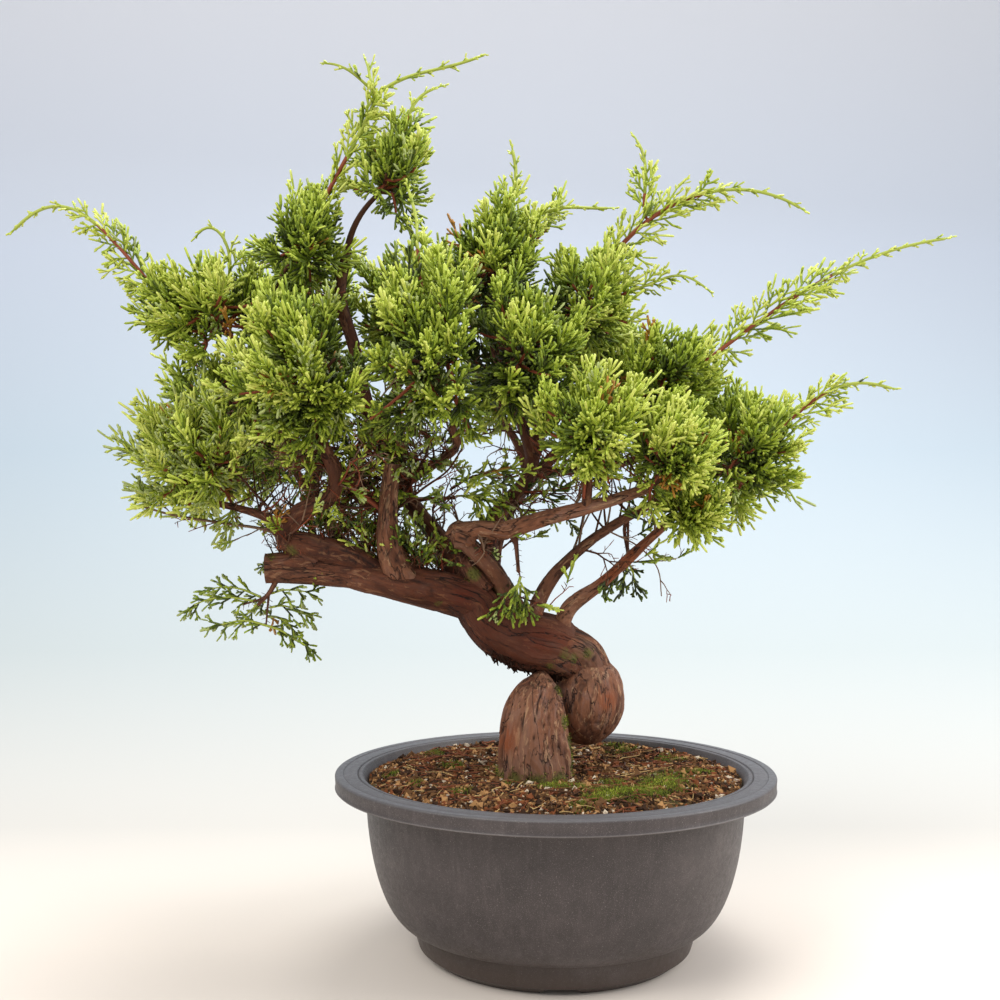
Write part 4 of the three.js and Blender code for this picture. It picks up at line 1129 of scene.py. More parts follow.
def add_bough(bark, index, name, root, tip, path):
    line = smooth_line(path, THICK_STEP if root > THICK_BOUGH else THIN_STEP)
    swell, reach = COLLARS.get(name, COMMON_COLLAR)
    collar = 1 + swell * np.exp(-np.linspace(0, steps_of(line).sum(), len(line)) / reach)
    sides = int(np.clip(SIDES_FOR_RADIUS * root, *BOUGH_SIDES))
    shift = (37 * index % 90, 53 * index % 70, 29 * index)
    bark.add(line, np.linspace(root, tip, len(line)) * collar, sides, shift, 1.7 if root < 5 else 1.3,
             cut_end=name == "stub_front", dark=DARKNESS.get(name, COMMON_DARKNESS))


def make_bark():
    bark = BarkMesh()
    add_column(bark)
    add_bulge(bark)
    add_rise_and_limb(bark)
    for index, (name, path, radii) in enumerate(FOLDS):
        line = smooth_line(path, FOLD_STEP)
        bark.add(line, spread_over(radii, len(line)), FOLD_SIDES, (31 * index, 11, 19), 1.1,
                 dark=DARKNESS.get(name, COMMON_DARKNESS))
    for index, bough in enumerate(BOUGHS[1:]):
        add_bough(bark, index, *bough)
    piece = bark.make("bark", bark_material())
    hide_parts("trunk", *[name for name, *_ in BOUGHS])
    grow_bark_moss(piece)


BARK_MOSS = {"least": 0.34, "share": 0.8, "lean": 0.55, "length": (0.8, 2.4), "radius": (0.14, 0.26),
             "shares": (0.55, 0.35, 0.1), "patch": 3.5}


def grow_bark_moss(bark):
    """Short moss leaves where moss sits on the bark."""
    rng = random_stream("bark_moss")
    vertices = bark.data.vertices
    points, normals = (np.empty(len(vertices) * 3, np.float32) for _ in range(2))
    vertices.foreach_get("co", points)
    bark.data.vertex_normals.foreach_get("vector", normals)
    points, normals = points.reshape(-1, 3) / MM, normals.reshape(-1, 3)
    amount = blob_amount(points, MOSS_ON_BARK) * (0.6 + 0.7 * noise(points / BARK_MOSS["patch"], 9))
    chosen = rng.random(len(points)) < BARK_MOSS["share"]
    grows = np.nonzero((amount > BARK_MOSS["least"]) & (points[:, 2] > GROUND) & chosen)[0]
    roots = points[grows] - 0.1 * normals[grows]
    way = unit(normals[grows] + rng.normal(0, BARK_MOSS["lean"], (len(grows), 3)))
    tips = roots + way * rng.uniform(*BARK_MOSS["length"], (len(grows), 1))
    radii = rng.uniform(*BARK_MOSS["radius"], len(grows))
    tone = rng.choice(3, len(grows), p=BARK_MOSS["shares"])
    make_spikes("bark_moss", roots, tips, radii, tone)


# Growth
def seeded(seed):
    """The source's stream of numbers from 0 to 1."""
    state = seed & WORD
    while True:
        state = (state + 0x6D2B79F5) & WORD
        mixed = ((state ^ (state >> 15)) * (state | 1)) & WORD
        mixed ^= (mixed + ((mixed ^ (mixed >> 7)) * (mixed | 61) & WORD)) & WORD
        yield ((mixed ^ (mixed >> 14)) & WORD) / (WORD + 1)


def limb_segments():
    """All limbs as short straight pieces: starts, ends and radii."""
    column, rise = (smooth_line(limb["path"], TRUNK_PIECE) for limb in (COLUMN, RISE))
    heights = np.linspace(0, 1, len(column))
    trunk = ((column, column_radius(heights)), (rise, spread_over(RISE["radii"], len(rise))))
    rows = [(line[:-1], line[1:], np.maximum(thick[:-1], thick[1:])) for line, thick in trunk]
    for _, root, tip, path in BOUGHS:
        line = smooth_line(path, BOUGH_PIECE)
        rows.append((line[:-1], line[1:], np.linspace(root, tip, len(line))[:-1]))
    return [np.concatenate(part) for part in zip(*rows)]


def distance_to(points, starts, ends, radii):
    """How far each point lies outside the nearest of some rounded rods."""
    nearest = np.full(len(points), np.inf)
    for start, end, radius in zip(starts, ends, radii):
        run = end - start
        share = np.clip((points - start) @ run / max(run @ run, 1e-9), 0, 1)
        distance = np.linalg.norm(points - start - share[:, None] * run, axis=1) - radius
        np.minimum(nearest, distance, out=nearest)
    return nearest


LIMBS = limb_segments()


def limb_distance(points):
    ball = np.linalg.norm(points - vec(*BULGE["centre"]), axis=1) - max(BULGE["size"])
    return np.minimum(ball, distance_to(points, *LIMBS))


class Mass:
    """A foliage mass: its space, its stem from the bough's tip to the hub, and its long shoots."""

    def __init__(self, index, name, bough, centre, half, leaders):
        _, _, self.bough_radius, path = next(row for row in BOUGHS if row[0] == bough)
        path = np.array(path, float)
        direction = unit(path[-1] - path[-2])
        start = path[-1] + direction * GAP
        self.index, self.name = index, name
        self.centre, self.half = vec(*centre), vec(*half)
        self.shoots = leaders
        self.hub = lerp(start, self.centre, HUB_SHARE)
        bend = start + direction * 0.5 * np.linalg.norm(self.hub - start)
        self.stem = bezier([start - direction * 2, bend, self.hub], 10)
        self.leaders = []
        for leaves, points in leaders:
            base = self.hub
            if leaves is not None:
                before = self.leaders[leaves[0]]
                base = before[int(round(leaves[1] * (len(before) - 1)))]
            near, far, tip = (vec(*p) for p in points)
            first = (-5 * base + 18 * near - 9 * far + 2 * tip) / 6
            second = (-5 * tip + 18 * far - 9 * near + 2 * base) / 6
            self.leaders.append(bezier([base, first, second, tip], LEADER_POINTS))

    def reach(self, points):
        return np.linalg.norm((points - self.centre) / self.half, axis=1)

    def leader_distance(self, points):
        if not self.leaders:
            return np.full(len(points), np.inf)
        starts = np.vstack([leader[:-1:4] for leader in self.leaders])
        ends = np.vstack([leader[4::4] for leader in self.leaders])
        return distance_to(points, starts, ends, np.zeros(len(starts)))


masses = [Mass(i, *row) for i, row in enumerate(MASSES)]


def nearest_other(mass, points):
    """The reach of the nearest other mass at some points, and whether its long shoots hold them."""
    own = mass.leader_distance(points)
    near = np.full(len(points), np.inf)
    taken = np.zeros(len(points), bool)
    for other in masses:
        if other is not mass:
            foreign = other.leader_distance(points)
            taken |= (foreign < LEADER_SPACE) & (foreign < own + LEADER_MARGIN)
            near = np.minimum(near, other.reach(points))
    return near, taken


def closeness(near):
    """From 0 to 1, how near another mass is."""
    return smoothstep(1.6, 1.25, near)


def is_free(mass, points, reach=SPACE_REACH, clear=LIMB_CLEAR, beside=LEADER_SPACE):
    """Whether points lie in the mass's own space, a little wider where a neighbour is near, off all limbs."""
    near, taken = nearest_other(mass, points)
    share = mass.reach(points)
    inside = (share < reach + JOIN_REACH * closeness(near)) & (near > share + CELL_MARGIN)
    clear_sky = np.zeros(len(points), bool)
    for centre, radius in OPENINGS:
        clear_sky |= np.linalg.norm(points - vec(*centre), axis=1) < radius
    from_shoot = mass.leader_distance(points)
    grown = (inside & ~clear_sky) | (from_shoot < np.where(clear_sky, SHOOT_SPACE, beside))
    return (limb_distance(points) > clear) & ~taken & grown


def fibonacci_directions(count, turn):
    """Directions spread evenly over a sphere."""
    index = np.arange(count)
    height = 1 - 2 * (index + 0.5) / count
    angle = turn + index * GOLDEN_ANGLE
    ring = np.sqrt(1 - height ** 2)
    return np.stack([ring * np.cos(angle), ring * np.sin(angle), height], -1)


# A frond is a branching spray: an axis with shoots in two ranks, most of them with smaller ones
Frond = collections.namedtuple("Frond", "root along across length tone narrow shoots lifted")
FROND_SHOOTS = 7
FROND_LENGTH = 21.0
SHOOT_RADIUS = 0.84
TUFT_AREA = 410.0
LEADER_STEP = 6.5
CROWN_HEART = (-40, 4, 262)
CROWN_HALF = (200, 112, 185)
# Leaf colours, darkest first, then gold and dusty; the darker ones, which fronds deep in the crown take,
# stand partly for older leaves and partly for painted shade
LEAF_TONES = [("shade", (50, 60, 18)), ("deep", (78, 94, 24)), ("mid", (112, 132, 36)),
              ("fresh", (146, 164, 46)), ("bright", (182, 196, 76)), ("pale", (200, 208, 100)),
              ("gold", (168, 118, 44)), ("dusty", (160, 172, 104))]
TONE_STEPS = [0.62, 0.8, 1.0, 1.22, 1.45]
GOLD, DUSTY = 6, 7
GOLD_SHARE, COMMON_DUSTY_SHARE = 0.006, 0.02
DUSTY_SHARE = {"left_low": 0.35, "hanging_left": 0.5, "centre_spray": 0.3, "front_left": 0.08, "inner": 0.25}
SPACING = {"left_low": 1.25}
# How much lighter each mass's leaves are, darker where below nothing: partly the masses' own tones, partly
# painted light on the masses at the right and front right and painted shade on the sprays that hang under the
# crown
LIGHTER = {"left_low": 0.3, "front_right": 0.17, "front_right_mid": 0.14, "front_right_low": 0.12,
           "right_top": 0.2, "left_top": 0.06, "right_upper": 0.12, "right_low": 0.1, "front_left": 0.05,
           "hanging_spray": -0.15, "hanging_spray_right": -0.35, "centre_spray": 0.1}
TWIG_TONES = [("red", (132, 66, 42), 0.7, 0.3), ("brown", (84, 54, 40), 0.85, 0.2),
              ("green", (160, 172, 70), 0.55, 0.3), ("dead", (128, 102, 82), 0.85, 0.2),
              ("flake", (48, 32, 24), 0.9, 0.1)]
RED, BROWN, GREEN, DEAD, FLAKE = range(len(TWIG_TONES))

# Masses that are only loose sprays: whether each spray is green, and its path
SPRAYS = {
    "hanging_left": [
        (False, [(-157, -16, 208), (-164, -16, 201), (-175, -16, 197)]),
        (True, [(-170, -16, 199), (-182, -18, 201), (-194, -20, 200), (-202, -20, 197)]),
        (True, [(-166, -14, 201), (-178, -8, 205), (-189, -2, 206), (-197, 2, 205)]),
        (False, [(-161, -16, 203), (-162, -15, 194), (-163, -14, 185)]),
        (True, [(-163, -14, 185), (-174, -17, 188), (-187, -20, 186)]),
        (True, [(-163, -14, 185), (-155, -12, 182), (-147, -8, 176), (-142, -6, 173)]),
        (True, [(-161, -14, 195), (-155, -12, 196), (-148, -8, 194), (-143, -6, 192)]),
        (True, [(-160, -14, 203), (-153, -17, 205), (-145, -18, 205), (-140, -16, 204)]),
        (True, [(-164, -12, 198), (-170, 0, 196), (-178, 6, 190)]),
        (True, [(-162, -14, 190), (-158, 0, 188), (-152, 6, 182)]),
    ],
    "hanging_spray": [
        (False, [(-26, -27, 236), (-22, -29, 228), (-21, -31, 218), (-20, -32, 212)]),
        (True, [(-20, -32, 213), (-22, -34, 206), (-24, -34, 198)]),
        (True, [(-21, -32, 209), (-27, -36, 204), (-31, -37, 198)]),
        (True, [(-20, -32, 210), (-17, -32, 204), (-17, -30, 198)]),
        (True, [(-20, -30, 208), (-20, -25, 203), (-21, -23, 197)]),
    ],
    "hanging_spray_right": [
        (False, [(41, -13, 246), (42, -4, 234), (43, 4, 221)]),
        (True, [(43, 4, 222), (39, 5, 216), (35, 6, 210)]),
        (True, [(43, 4, 220), (46, 7, 214), (47, 8, 208)]),
        (True, [(43, 5, 219), (42, 11, 213), (41, 13, 208)]),
    ],
    "centre_spray": [
        (True, [(-56, -10, 258), (-44, -14, 258), (-32, -17, 254)]),
        (True, [(-51, -13, 259), (-45, -14, 267), (-34, -16, 271), (-26, -18, 273)]),
        (True, [(-50, -13, 258), (-44, -15, 254), (-43, -16, 248)]),
        (True, [(-47, -13, 258), (-41, -18, 254), (-38, -20, 248)]),
        (True, [(-48, -13, 259), (-38, -6, 263), (-30, -1, 265)]),
    ],
}


def rotated(vector, axis, angle):
    """A vector turned round an axis."""
    return (vector * math.cos(angle) + np.cross(axis, vector) * math.sin(angle)
            + axis * (axis @ vector) * (1 - math.cos(angle)))


def perpendicular(axis, rng):
    return unit(np.cross(axis, rng.normal(size=3)))


def tilted_across(along, flat, tilt, rng):
    """A frond's side direction, near the plane through another direction but tilted at random."""
    return unit(np.cross(along, unit(np.cross(along, flat) + tilt * rng.normal(size=3))))


# Shares of a shoot's growth away from the crown's heart, out of its mass, and up from below to above
FROM_HEART, OUTWARD = 0.65, 0.25
RISES, RISE_BETWEEN = (-0.15, 0.5), (-0.7, 0.2)
HEART_SCALE = (1, 1, 0.8)


def growth_way(mass, point):
    """Where shoots turn to: away from the crown's heart, out of their mass, and up but for its underside."""
    heart = unit((point - vec(*CROWN_HEART)) * HEART_SCALE)
    outward = unit((point - mass.centre) / mass.half + 1e-6)
    rise = lerp(*RISES, smoothstep(*RISE_BETWEEN, outward[2]))
    return FROM_HEART * heart + OUTWARD * outward + vec(0, 0, rise)


BRANCHES, FEW_BRANCHES, SMALL_MASS = 8, 5, 20
BRANCH_POINTS, TWIG_POINTS = 8, 7
# A branch ends this far under the mass's skin, but reaches at least this share of the way
BRANCH_UNDER, BRANCH_REACH = 30, 0.36
BRANCH_CHANCE, BRANCH_WOBBLE = 0.06, 0.06
LEAST_TWIGS = 7
# The lumps of a mass's skin: its mean reach, their height and fineness, and what chance adds
SKIN = {"reach": 0.96, "lumps": 0.26, "fineness": 2.4, "seed": 3, "chance": 0.07}
# Twigs: how far chance moves them aside, and how they bend towards the way of growth
TWIG = {"aside": 0.13, "reach": 0.2, "short": (0.7, 0.95), "bend": 0.7, "middle": 0.5, "wobble": 0.05}
# Few twigs grow where two masses meet: the least share of them, and the neighbour's reach from and to
MEETING_SHARE, MEETING = 0.12, (0.92, 1.12)


def branches_of(mass, rng, source, turn):
    """The source's branches, from the hub towards the mass's skin."""
    branches = []
    count = BRANCHES if mass.half.min() > SMALL_MASS else FEW_BRANCHES
    for direction in fibonacci_directions(count, turn):
        arm = direction * mass.half
        share = max(BRANCH_REACH, 1 - BRANCH_UNDER / np.linalg.norm(arm)) + BRANCH_CHANCE * next(source)
        target = mass.centre + arm * share
        line = np.array([lerp(mass.hub, target, t) for t in (0, 0.33, 0.66, 1)])
        line[1:3] += rng.normal(0, BRANCH_WOBBLE * np.linalg.norm(target - mass.hub), (2, 3))
        line = bezier(line, BRANCH_POINTS)
        if is_free(mass, line[[4, 7]]).all():
            branches.append(line)
    return branches


def twigs_of(mass, branches, rng, turn):
    """A finer set of twigs, which grow from the branches and the stem and fill the mass with tufts."""
    lines = branches + [np.vstack([mass.stem[-3:], mass.hub])]
    area = 4 * math.pi * np.prod(mass.half) ** (2 / 3)
    spacing = TUFT_AREA * SPACING.get(mass.name, 1)
    tips = fibonacci_directions(max(LEAST_TWIGS, int(area / spacing)), turn + 1)
    tips = tips + rng.normal(0, TWIG["aside"], tips.shape)
    arms = tips * mass.half
    near, _ = nearest_other(mass, mass.centre + 0.95 * arms)
    lump = SKIN["reach"] + SKIN["lumps"] * noise(tips * SKIN["fineness"] + mass.index, SKIN["seed"])
    lump += JOIN_REACH * closeness(near)
    lump += rng.normal(0, SKIN["chance"], len(tips))
    kept = rng.random(len(tips)) < lerp(MEETING_SHARE, 1.0, smoothstep(*MEETING, near))
    twigs = []
    for arm, size in zip(arms[kept], lump[kept]):
        share = max(TWIG["reach"], size - FROND_LENGTH * rng.uniform(*TWIG["short"]) / np.linalg.norm(arm))
        target = mass.centre + arm * share
        best = min(lines, key=lambda line: np.linalg.norm(line[2:] - target, axis=1).min())
        nearest = int(np.linalg.norm(best - target, axis=1).argmin())
        start = best[max(0, min(nearest - 2, len(best) - 2))]
        gap = np.linalg.norm(target - start)
        way = unit(unit(target - start) + TWIG["bend"] * growth_way(mass, target))
        bend = target - way * gap * TWIG["middle"]
        line = bezier([start, bend + rng.normal(0, TWIG["wobble"] * gap, 3), target], TWIG_POINTS)
        if is_free(mass, line[[3, 6]]).all():
            twigs.append(line)
    return twigs


# A twig carries fronds at its tip, each spread from the twig by an angle, and below it
TIP_SPREADS = (0.12, 0.5, 0.6)
FRONDS_BELOW = (5.0, 9.0, 13.0)
SPREADS_BELOW = (0.65, 0.95)
SHORT_TWIG = 15
# How much a frond follows its twig and the way of growth, how it tilts and lifts, and its size
TUFT = {"twig": 0.8, "growth": 0.75, "tilt": 0.7, "lift": 0.18, "tip_size": (0.8, 1.25), "size": (0.6, 1.0)}
# What chance adds to the tone of a whole tuft and of each frond
TUFT_CHANCE, FROND_CHANCE = 0.13, 0.07


def grow_tuft(mass, line, rng):
    """The fronds of one twig."""
    tangents = tangents_of(line)
    first = perpendicular(tangents[-1], rng)
    tuft_tone = TUFT_CHANCE * rng.normal()
    below = 1 - np.array(FRONDS_BELOW) / max(steps_of(line).sum(), SHORT_TWIG)
    last, roll, fronds = len(line) - 1, 0.0, []
    for k, t in enumerate([*(1.0 for _ in TIP_SPREADS), *below]):
        at_tip = k < len(TIP_SPREADS)
        point = np.array([np.interp(t * last, range(len(line)), line[:, a]) for a in range(3)])
        tangent = tangents[min(last, int(t * last))]
        roll += GOLDEN_ANGLE
        side = rotated(unit(first - tangent * (first @ tangent)), tangent, roll)
        spread = TIP_SPREADS[k] if at_tip else rng.uniform(*SPREADS_BELOW)
        turned_out = TUFT["twig"] * tangent * math.cos(spread) + side * math.sin(spread)
        along = unit(turned_out + TUFT["growth"] * growth_way(mass, point))
        across = tilted_across(along, side, TUFT["tilt"], rng)
        size = FROND_LENGTH * rng.uniform(*TUFT["tip_size" if at_tip else "size"])
        tip = point + along * size
        # Fronds further out in their mass and in the crown take lighter tones: partly the fresher outer
        # growth, partly painted shade deep in the crown
        outer = np.linalg.norm((tip - CROWN_HEART) / CROWN_HALF)
        tone = 0.5 * mass.reach(tip[None])[0] + 0.5 * outer + LIGHTER.get(mass.name, 0)
        tone = tone + tuft_tone + FROND_CHANCE * rng.normal()
        fronds.append(Frond(point, along, across, size, tone, 1.0, FROND_SHOOTS, TUFT["lift"]))
    return fronds


STEM_RADII, BRANCH_RADII, TWIG_RADII = (2.2, 1.5), (1.3, 0.8), (1.15, 0.75)


def grow_mass(mass, strands):
    """Adds a mass's wood to the strands, and gives its leaves' points, faces and tones."""
    rng = np.random.default_rng(SEED * 7 + mass.index)
    fronds = []
    if mass.name in SPRAYS:
        for green, path in SPRAYS[mass.name]:
            grow_spray(mass, path, green, rng, strands, fronds)
        return make_fronds(mass.name, fronds, rng)
    source = seeded(SEED + 101 * mass.index)
    turn = 2 * math.pi * next(source)
    branches = branches_of(mass, rng, source, turn)
    twigs = twigs_of(mass, branches, rng, turn)
    root_radius, hub_radius = min(mass.bough_radius, STEM_RADII[0]), STEM_RADII[1]
    strands.add(mass.stem, np.linspace(root_radius, hub_radius, len(mass.stem)), BROWN)
    for line in branches:
        strands.add(line, np.linspace(*BRANCH_RADII, len(line)), BROWN)
    for line in twigs:
        strands.add(line[::2], np.linspace(*TWIG_RADII, len(line[::2])), RED)
        fronds += grow_tuft(mass, line, rng)
    forks = [leaves for leaves, _ in mass.shoots if leaves is not None]
    for number, leader in enumerate(mass.leaders):
        bare = mass.shoots[number][0] == (0, 1)
        grow_leader(leader, number, bare, (0, 1) in forks and number == 0, rng, strands, fronds)
    return make_fronds(mass.name, prune(mass, fronds), rng)


# Loose sprays: tone, stem, and their shoots' way, size and number, with other values at the tip
SPRAY = {"tone": 0.92, "tone_chance": 0.12, "radii": (0.85, 0.5), "step": 3, "roll": 0.6, "out": 0.75,
         "down": 0.3, "tilt": 0.3, "lengths": (8, 12), "narrow": 1.2, "shoots": 3, "lift": -0.05}
SPRAY_TIP = {"down": 0.2, "length": 11.0, "narrow": 1.1, "shoots": 4}
NEEDLE = {"ahead": 0.5, "lengths": (1.2, 3), "radii": (0.25, 0.12)}


def grow_spray(mass, path, green, rng, strands, fronds):
    """A loose flat spray with long shoots to both sides, or a dead twig with short needles."""
    line = smooth_line(path)
    tone = SPRAY["tone"] + LIGHTER.get(mass.name, 0)
    strands.add(line, np.linspace(*SPRAY["radii"], len(line)), GREEN if green else BROWN)
    tangents = tangents_of(line)
    for index in range(2, len(line), SPRAY["step"] if green else 1):
        tangent, point = tangents[index], line[index]
        side = unit(np.cross(tangent, vec(0, -1, 0))) * (1 if index % 2 else -1)
        side = rotated(side, tangent, rng.normal(0, SPRAY["roll"]))
        if green:
            along = unit(tangent + SPRAY["out"] * side - vec(0, 0, SPRAY["down"]))
            across = tilted_across(along, tangent, SPRAY["tilt"], rng)
            size = rng.uniform(*SPRAY["lengths"])
            shade = tone + SPRAY["tone_chance"] * rng.normal()
            fronds.append(Frond(point, along, across, size, shade, SPRAY["narrow"], SPRAY["shoots"],
                                SPRAY["lift"]))
        else:
            needle = (side + NEEDLE["ahead"] * tangent) * rng.uniform(*NEEDLE["lengths"])
            strands.add([point, point + needle], NEEDLE["radii"], BROWN)
    if green:
        along = unit(tangents[-1] - vec(0, 0, SPRAY_TIP["down"]))
        across = perpendicular(along, rng)
        shade = tone + SPRAY["tone_chance"] * rng.normal()
        fronds.append(Frond(line[-1], along, across, SPRAY_TIP["length"], shade, SPRAY_TIP["narrow"],
                            SPRAY_TIP["shoots"], SPRAY["lift"]))


SHORTENINGS, SHORTENING, LEAST_FROND = 4, 0.82, 2.5


def prune(mass, fronds):
    """Shortens the fronds that leave their mass's space, and drops those that still do."""
    root, along = (np.array([frond[i] for frond in fronds]) for i in range(2))
    length = np.array([frond.length for frond in fronds])
    for _ in range(SHORTENINGS):
        ends = root + along * length[:, None]
        bad = ~(is_free(mass, ends, OUTER_REACH, LIMB_CLEAR, SPRAY_SPACE)
                & is_free(mass, (root + ends) / 2, OUTER_REACH, LIMB_CLEAR / 2, SPRAY_SPACE))
        length[bad] *= SHORTENING
    kept = ~bad & (length > LEAST_FROND)
    return [frond._replace(length=size) for frond, size, keep in zip(fronds, length, kept) if keep]


# Long shoots: the first of a mass is the strongest, a bare one has nubs, and a forked one ends in full sprays
NUBS = {"lengths": (5.0, 7.5, 10.0), "shares": (0.6, 0.25, 0.15)}
TIP_FRONDS = 9
LEADER_PIECE = 3.0
# The first and the other long shoots: the share that is reddish, the radii, and the size of their sprays
STRONG = {"red": 0.62, "radii": (1.5, 0.95), "size": 1.0}
WEAK = {"red": 0.34, "radii": (1.1, 0.85), "size": 0.68}
CLOSER = 0.72
# The lengths of sprays along a shoot, which shrink between two shares of it
SPRAY_LENGTHS, SHRINK_BETWEEN = (24.0, 4.5), (0.4, 0.88)
FORKED_LENGTHS = (22.0, 15.0)
LEADER_SPRAY = {"chance": (0.8, 1.15), "spreads": (0.4, 0.7), "roll": 0.6, "down": 0.06, "tilt": 0.5,
                "shoot_every": 2.5, "tone": 1.15, "tone_rise": 0.25, "tone_chance": 0.12, "narrow": 0.9}
LEADER_TIP = {"out": 1.1, "down": 0.5, "lengths": (11, 17), "last": 5.5, "tone": 1.35, "narrow": 0.8,
              "shoots": 6, "last_shoots": 3}


def grow_leader(leader, number, bare, forked, rng, strands, fronds):
    """A long shoot: a reddish stem that turns green, with full sprays that shrink to nubs at the tip."""
    line, places = resample(leader, LEADER_PIECE)
    own = STRONG if number == 0 else WEAK
    split = int(len(line) * (0.0 if bare else own["red"]))
    thick = lerp(*own["radii"], places / places[-1])
    if split > 2:
        strands.add(line[:split + 1], thick[:split + 1], RED)
    strands.add(line[split:], thick[split:], GREEN)
    tangents = tangents_of(line)
    view_side = unit(np.cross(tangents.mean(0), vec(0, -1, 0)))
    step = LEADER_STEP if bare else CLOSER * LEADER_STEP
    for place in np.arange(step, places[-1] - 1, step):
        share = place / places[-1]
        index = int(share * (len(line) - 1))
        tangent, point = tangents[index], line[index]
        length = lerp(*SPRAY_LENGTHS, smoothstep(*SHRINK_BETWEEN, share)) * own["size"]
        if forked:
            length = lerp(*FORKED_LENGTHS, share)
        if bare:
            length = rng.choice(NUBS["lengths"], p=NUBS["shares"])
        length *= rng.uniform(*LEADER_SPRAY["chance"])
        spread = rng.uniform(*LEADER_SPRAY["spreads"]) * (1 if round(place / step) % 2 else -1)
        side = rotated(view_side, tangent, rng.normal(0, LEADER_SPRAY["roll"]))
        down = vec(0, 0, LEADER_SPRAY["down"])
        along = unit(tangent * math.cos(spread) + side * math.sin(spread) - down)
        across = tilted_across(along, tangent, LEADER_SPRAY["tilt"], rng)
        shoots = int(np.clip(round(length / LEADER_SPRAY["shoot_every"]), 2, FROND_SHOOTS))
        tone = LEADER_SPRAY["tone"] + LEADER_SPRAY["tone_rise"] * share
        tone += LEADER_SPRAY["tone_chance"] * rng.normal()
        fronds.append(Frond(point, along, across, length, tone, LEADER_SPRAY["narrow"], shoots, 0.0))
    for k in range(TIP_FRONDS if forked else 1):
        out = LEADER_TIP["out"] * perpendicular(tangents[-1], rng)
        along = unit(tangents[-1] + (out - vec(0, 0, LEADER_TIP["down"]) if k else 0))
        length = rng.uniform(*LEADER_TIP["lengths"]) if k else LEADER_TIP["last"]
        across = perpendicular(along, rng)
        shoots = LEADER_TIP["shoots" if k else "last_shoots"]
        fronds.append(Frond(line[-1 - k], along, across, length, LEADER_TIP["tone"], LEADER_TIP["narrow"],
                            shoots, 0.0))


# The smaller shoots on a shoot: where they start, how far they turn out, and their share of its length
SIDE_SHOOTS = ((0.36, 0.6, 0.56), (0.55, -0.55, 0.45))
SHOOT_LENGTHS = (2.6, 12.5)
LEAST_FORKED = 4.2
# From a frond's root to its tip: the angle its shoots turn out by, and their share of its length
SHOOT_ANGLES, SHOOT_SHARES = (0.72, 0.5), (0.6, 0.42)
LAST_TURN = 0.1
# Where shoots leave the frond's axis, as its share for the last one and what comes off it
SHOOT_PLACES = (0.78, 0.06)
# The parts of a shoot up to its middle, its shoulder and its tip, and its width at each
SHOOT_PARTS, SHOOT_WIDTHS = (0.5, 0.42, 0.08), (0.72, 1.0, 0.92)
FULL_SHOOT, THINNEST = 6, 0.75
# What chance adds to each value of a shoot
CHANCE = {"bend": 0.08, "angle": 0.12, "length": 0.16, "lift": 0.38, "width": 0.1, "tone": 0.08}
SIDE_CHANCE = {"turn": 0.15, "lift": 0.3, "length": 0.15}
# How much a shoot's outer part turns to the frond's tip, and how fronds that lift do so
TURN_AHEAD, SIDE_AHEAD = 0.55, 0.2
LIFTS = (0.5, 0.6)
# What the tone gains towards the frond's tip, and on the outer half of shoots, side shoots and the axis
TONE_RISE, TONE_MIDDLE = 0.16, 0.6
OUTER_TONES = {"shoot": (0, 0.2), "side": (0, 0.16), "axis": (-0.3, 0)}
AXIS = {"before": 0.6, "reach": 0.66, "bend": 0.45, "widths": (0.6, 0.66)}


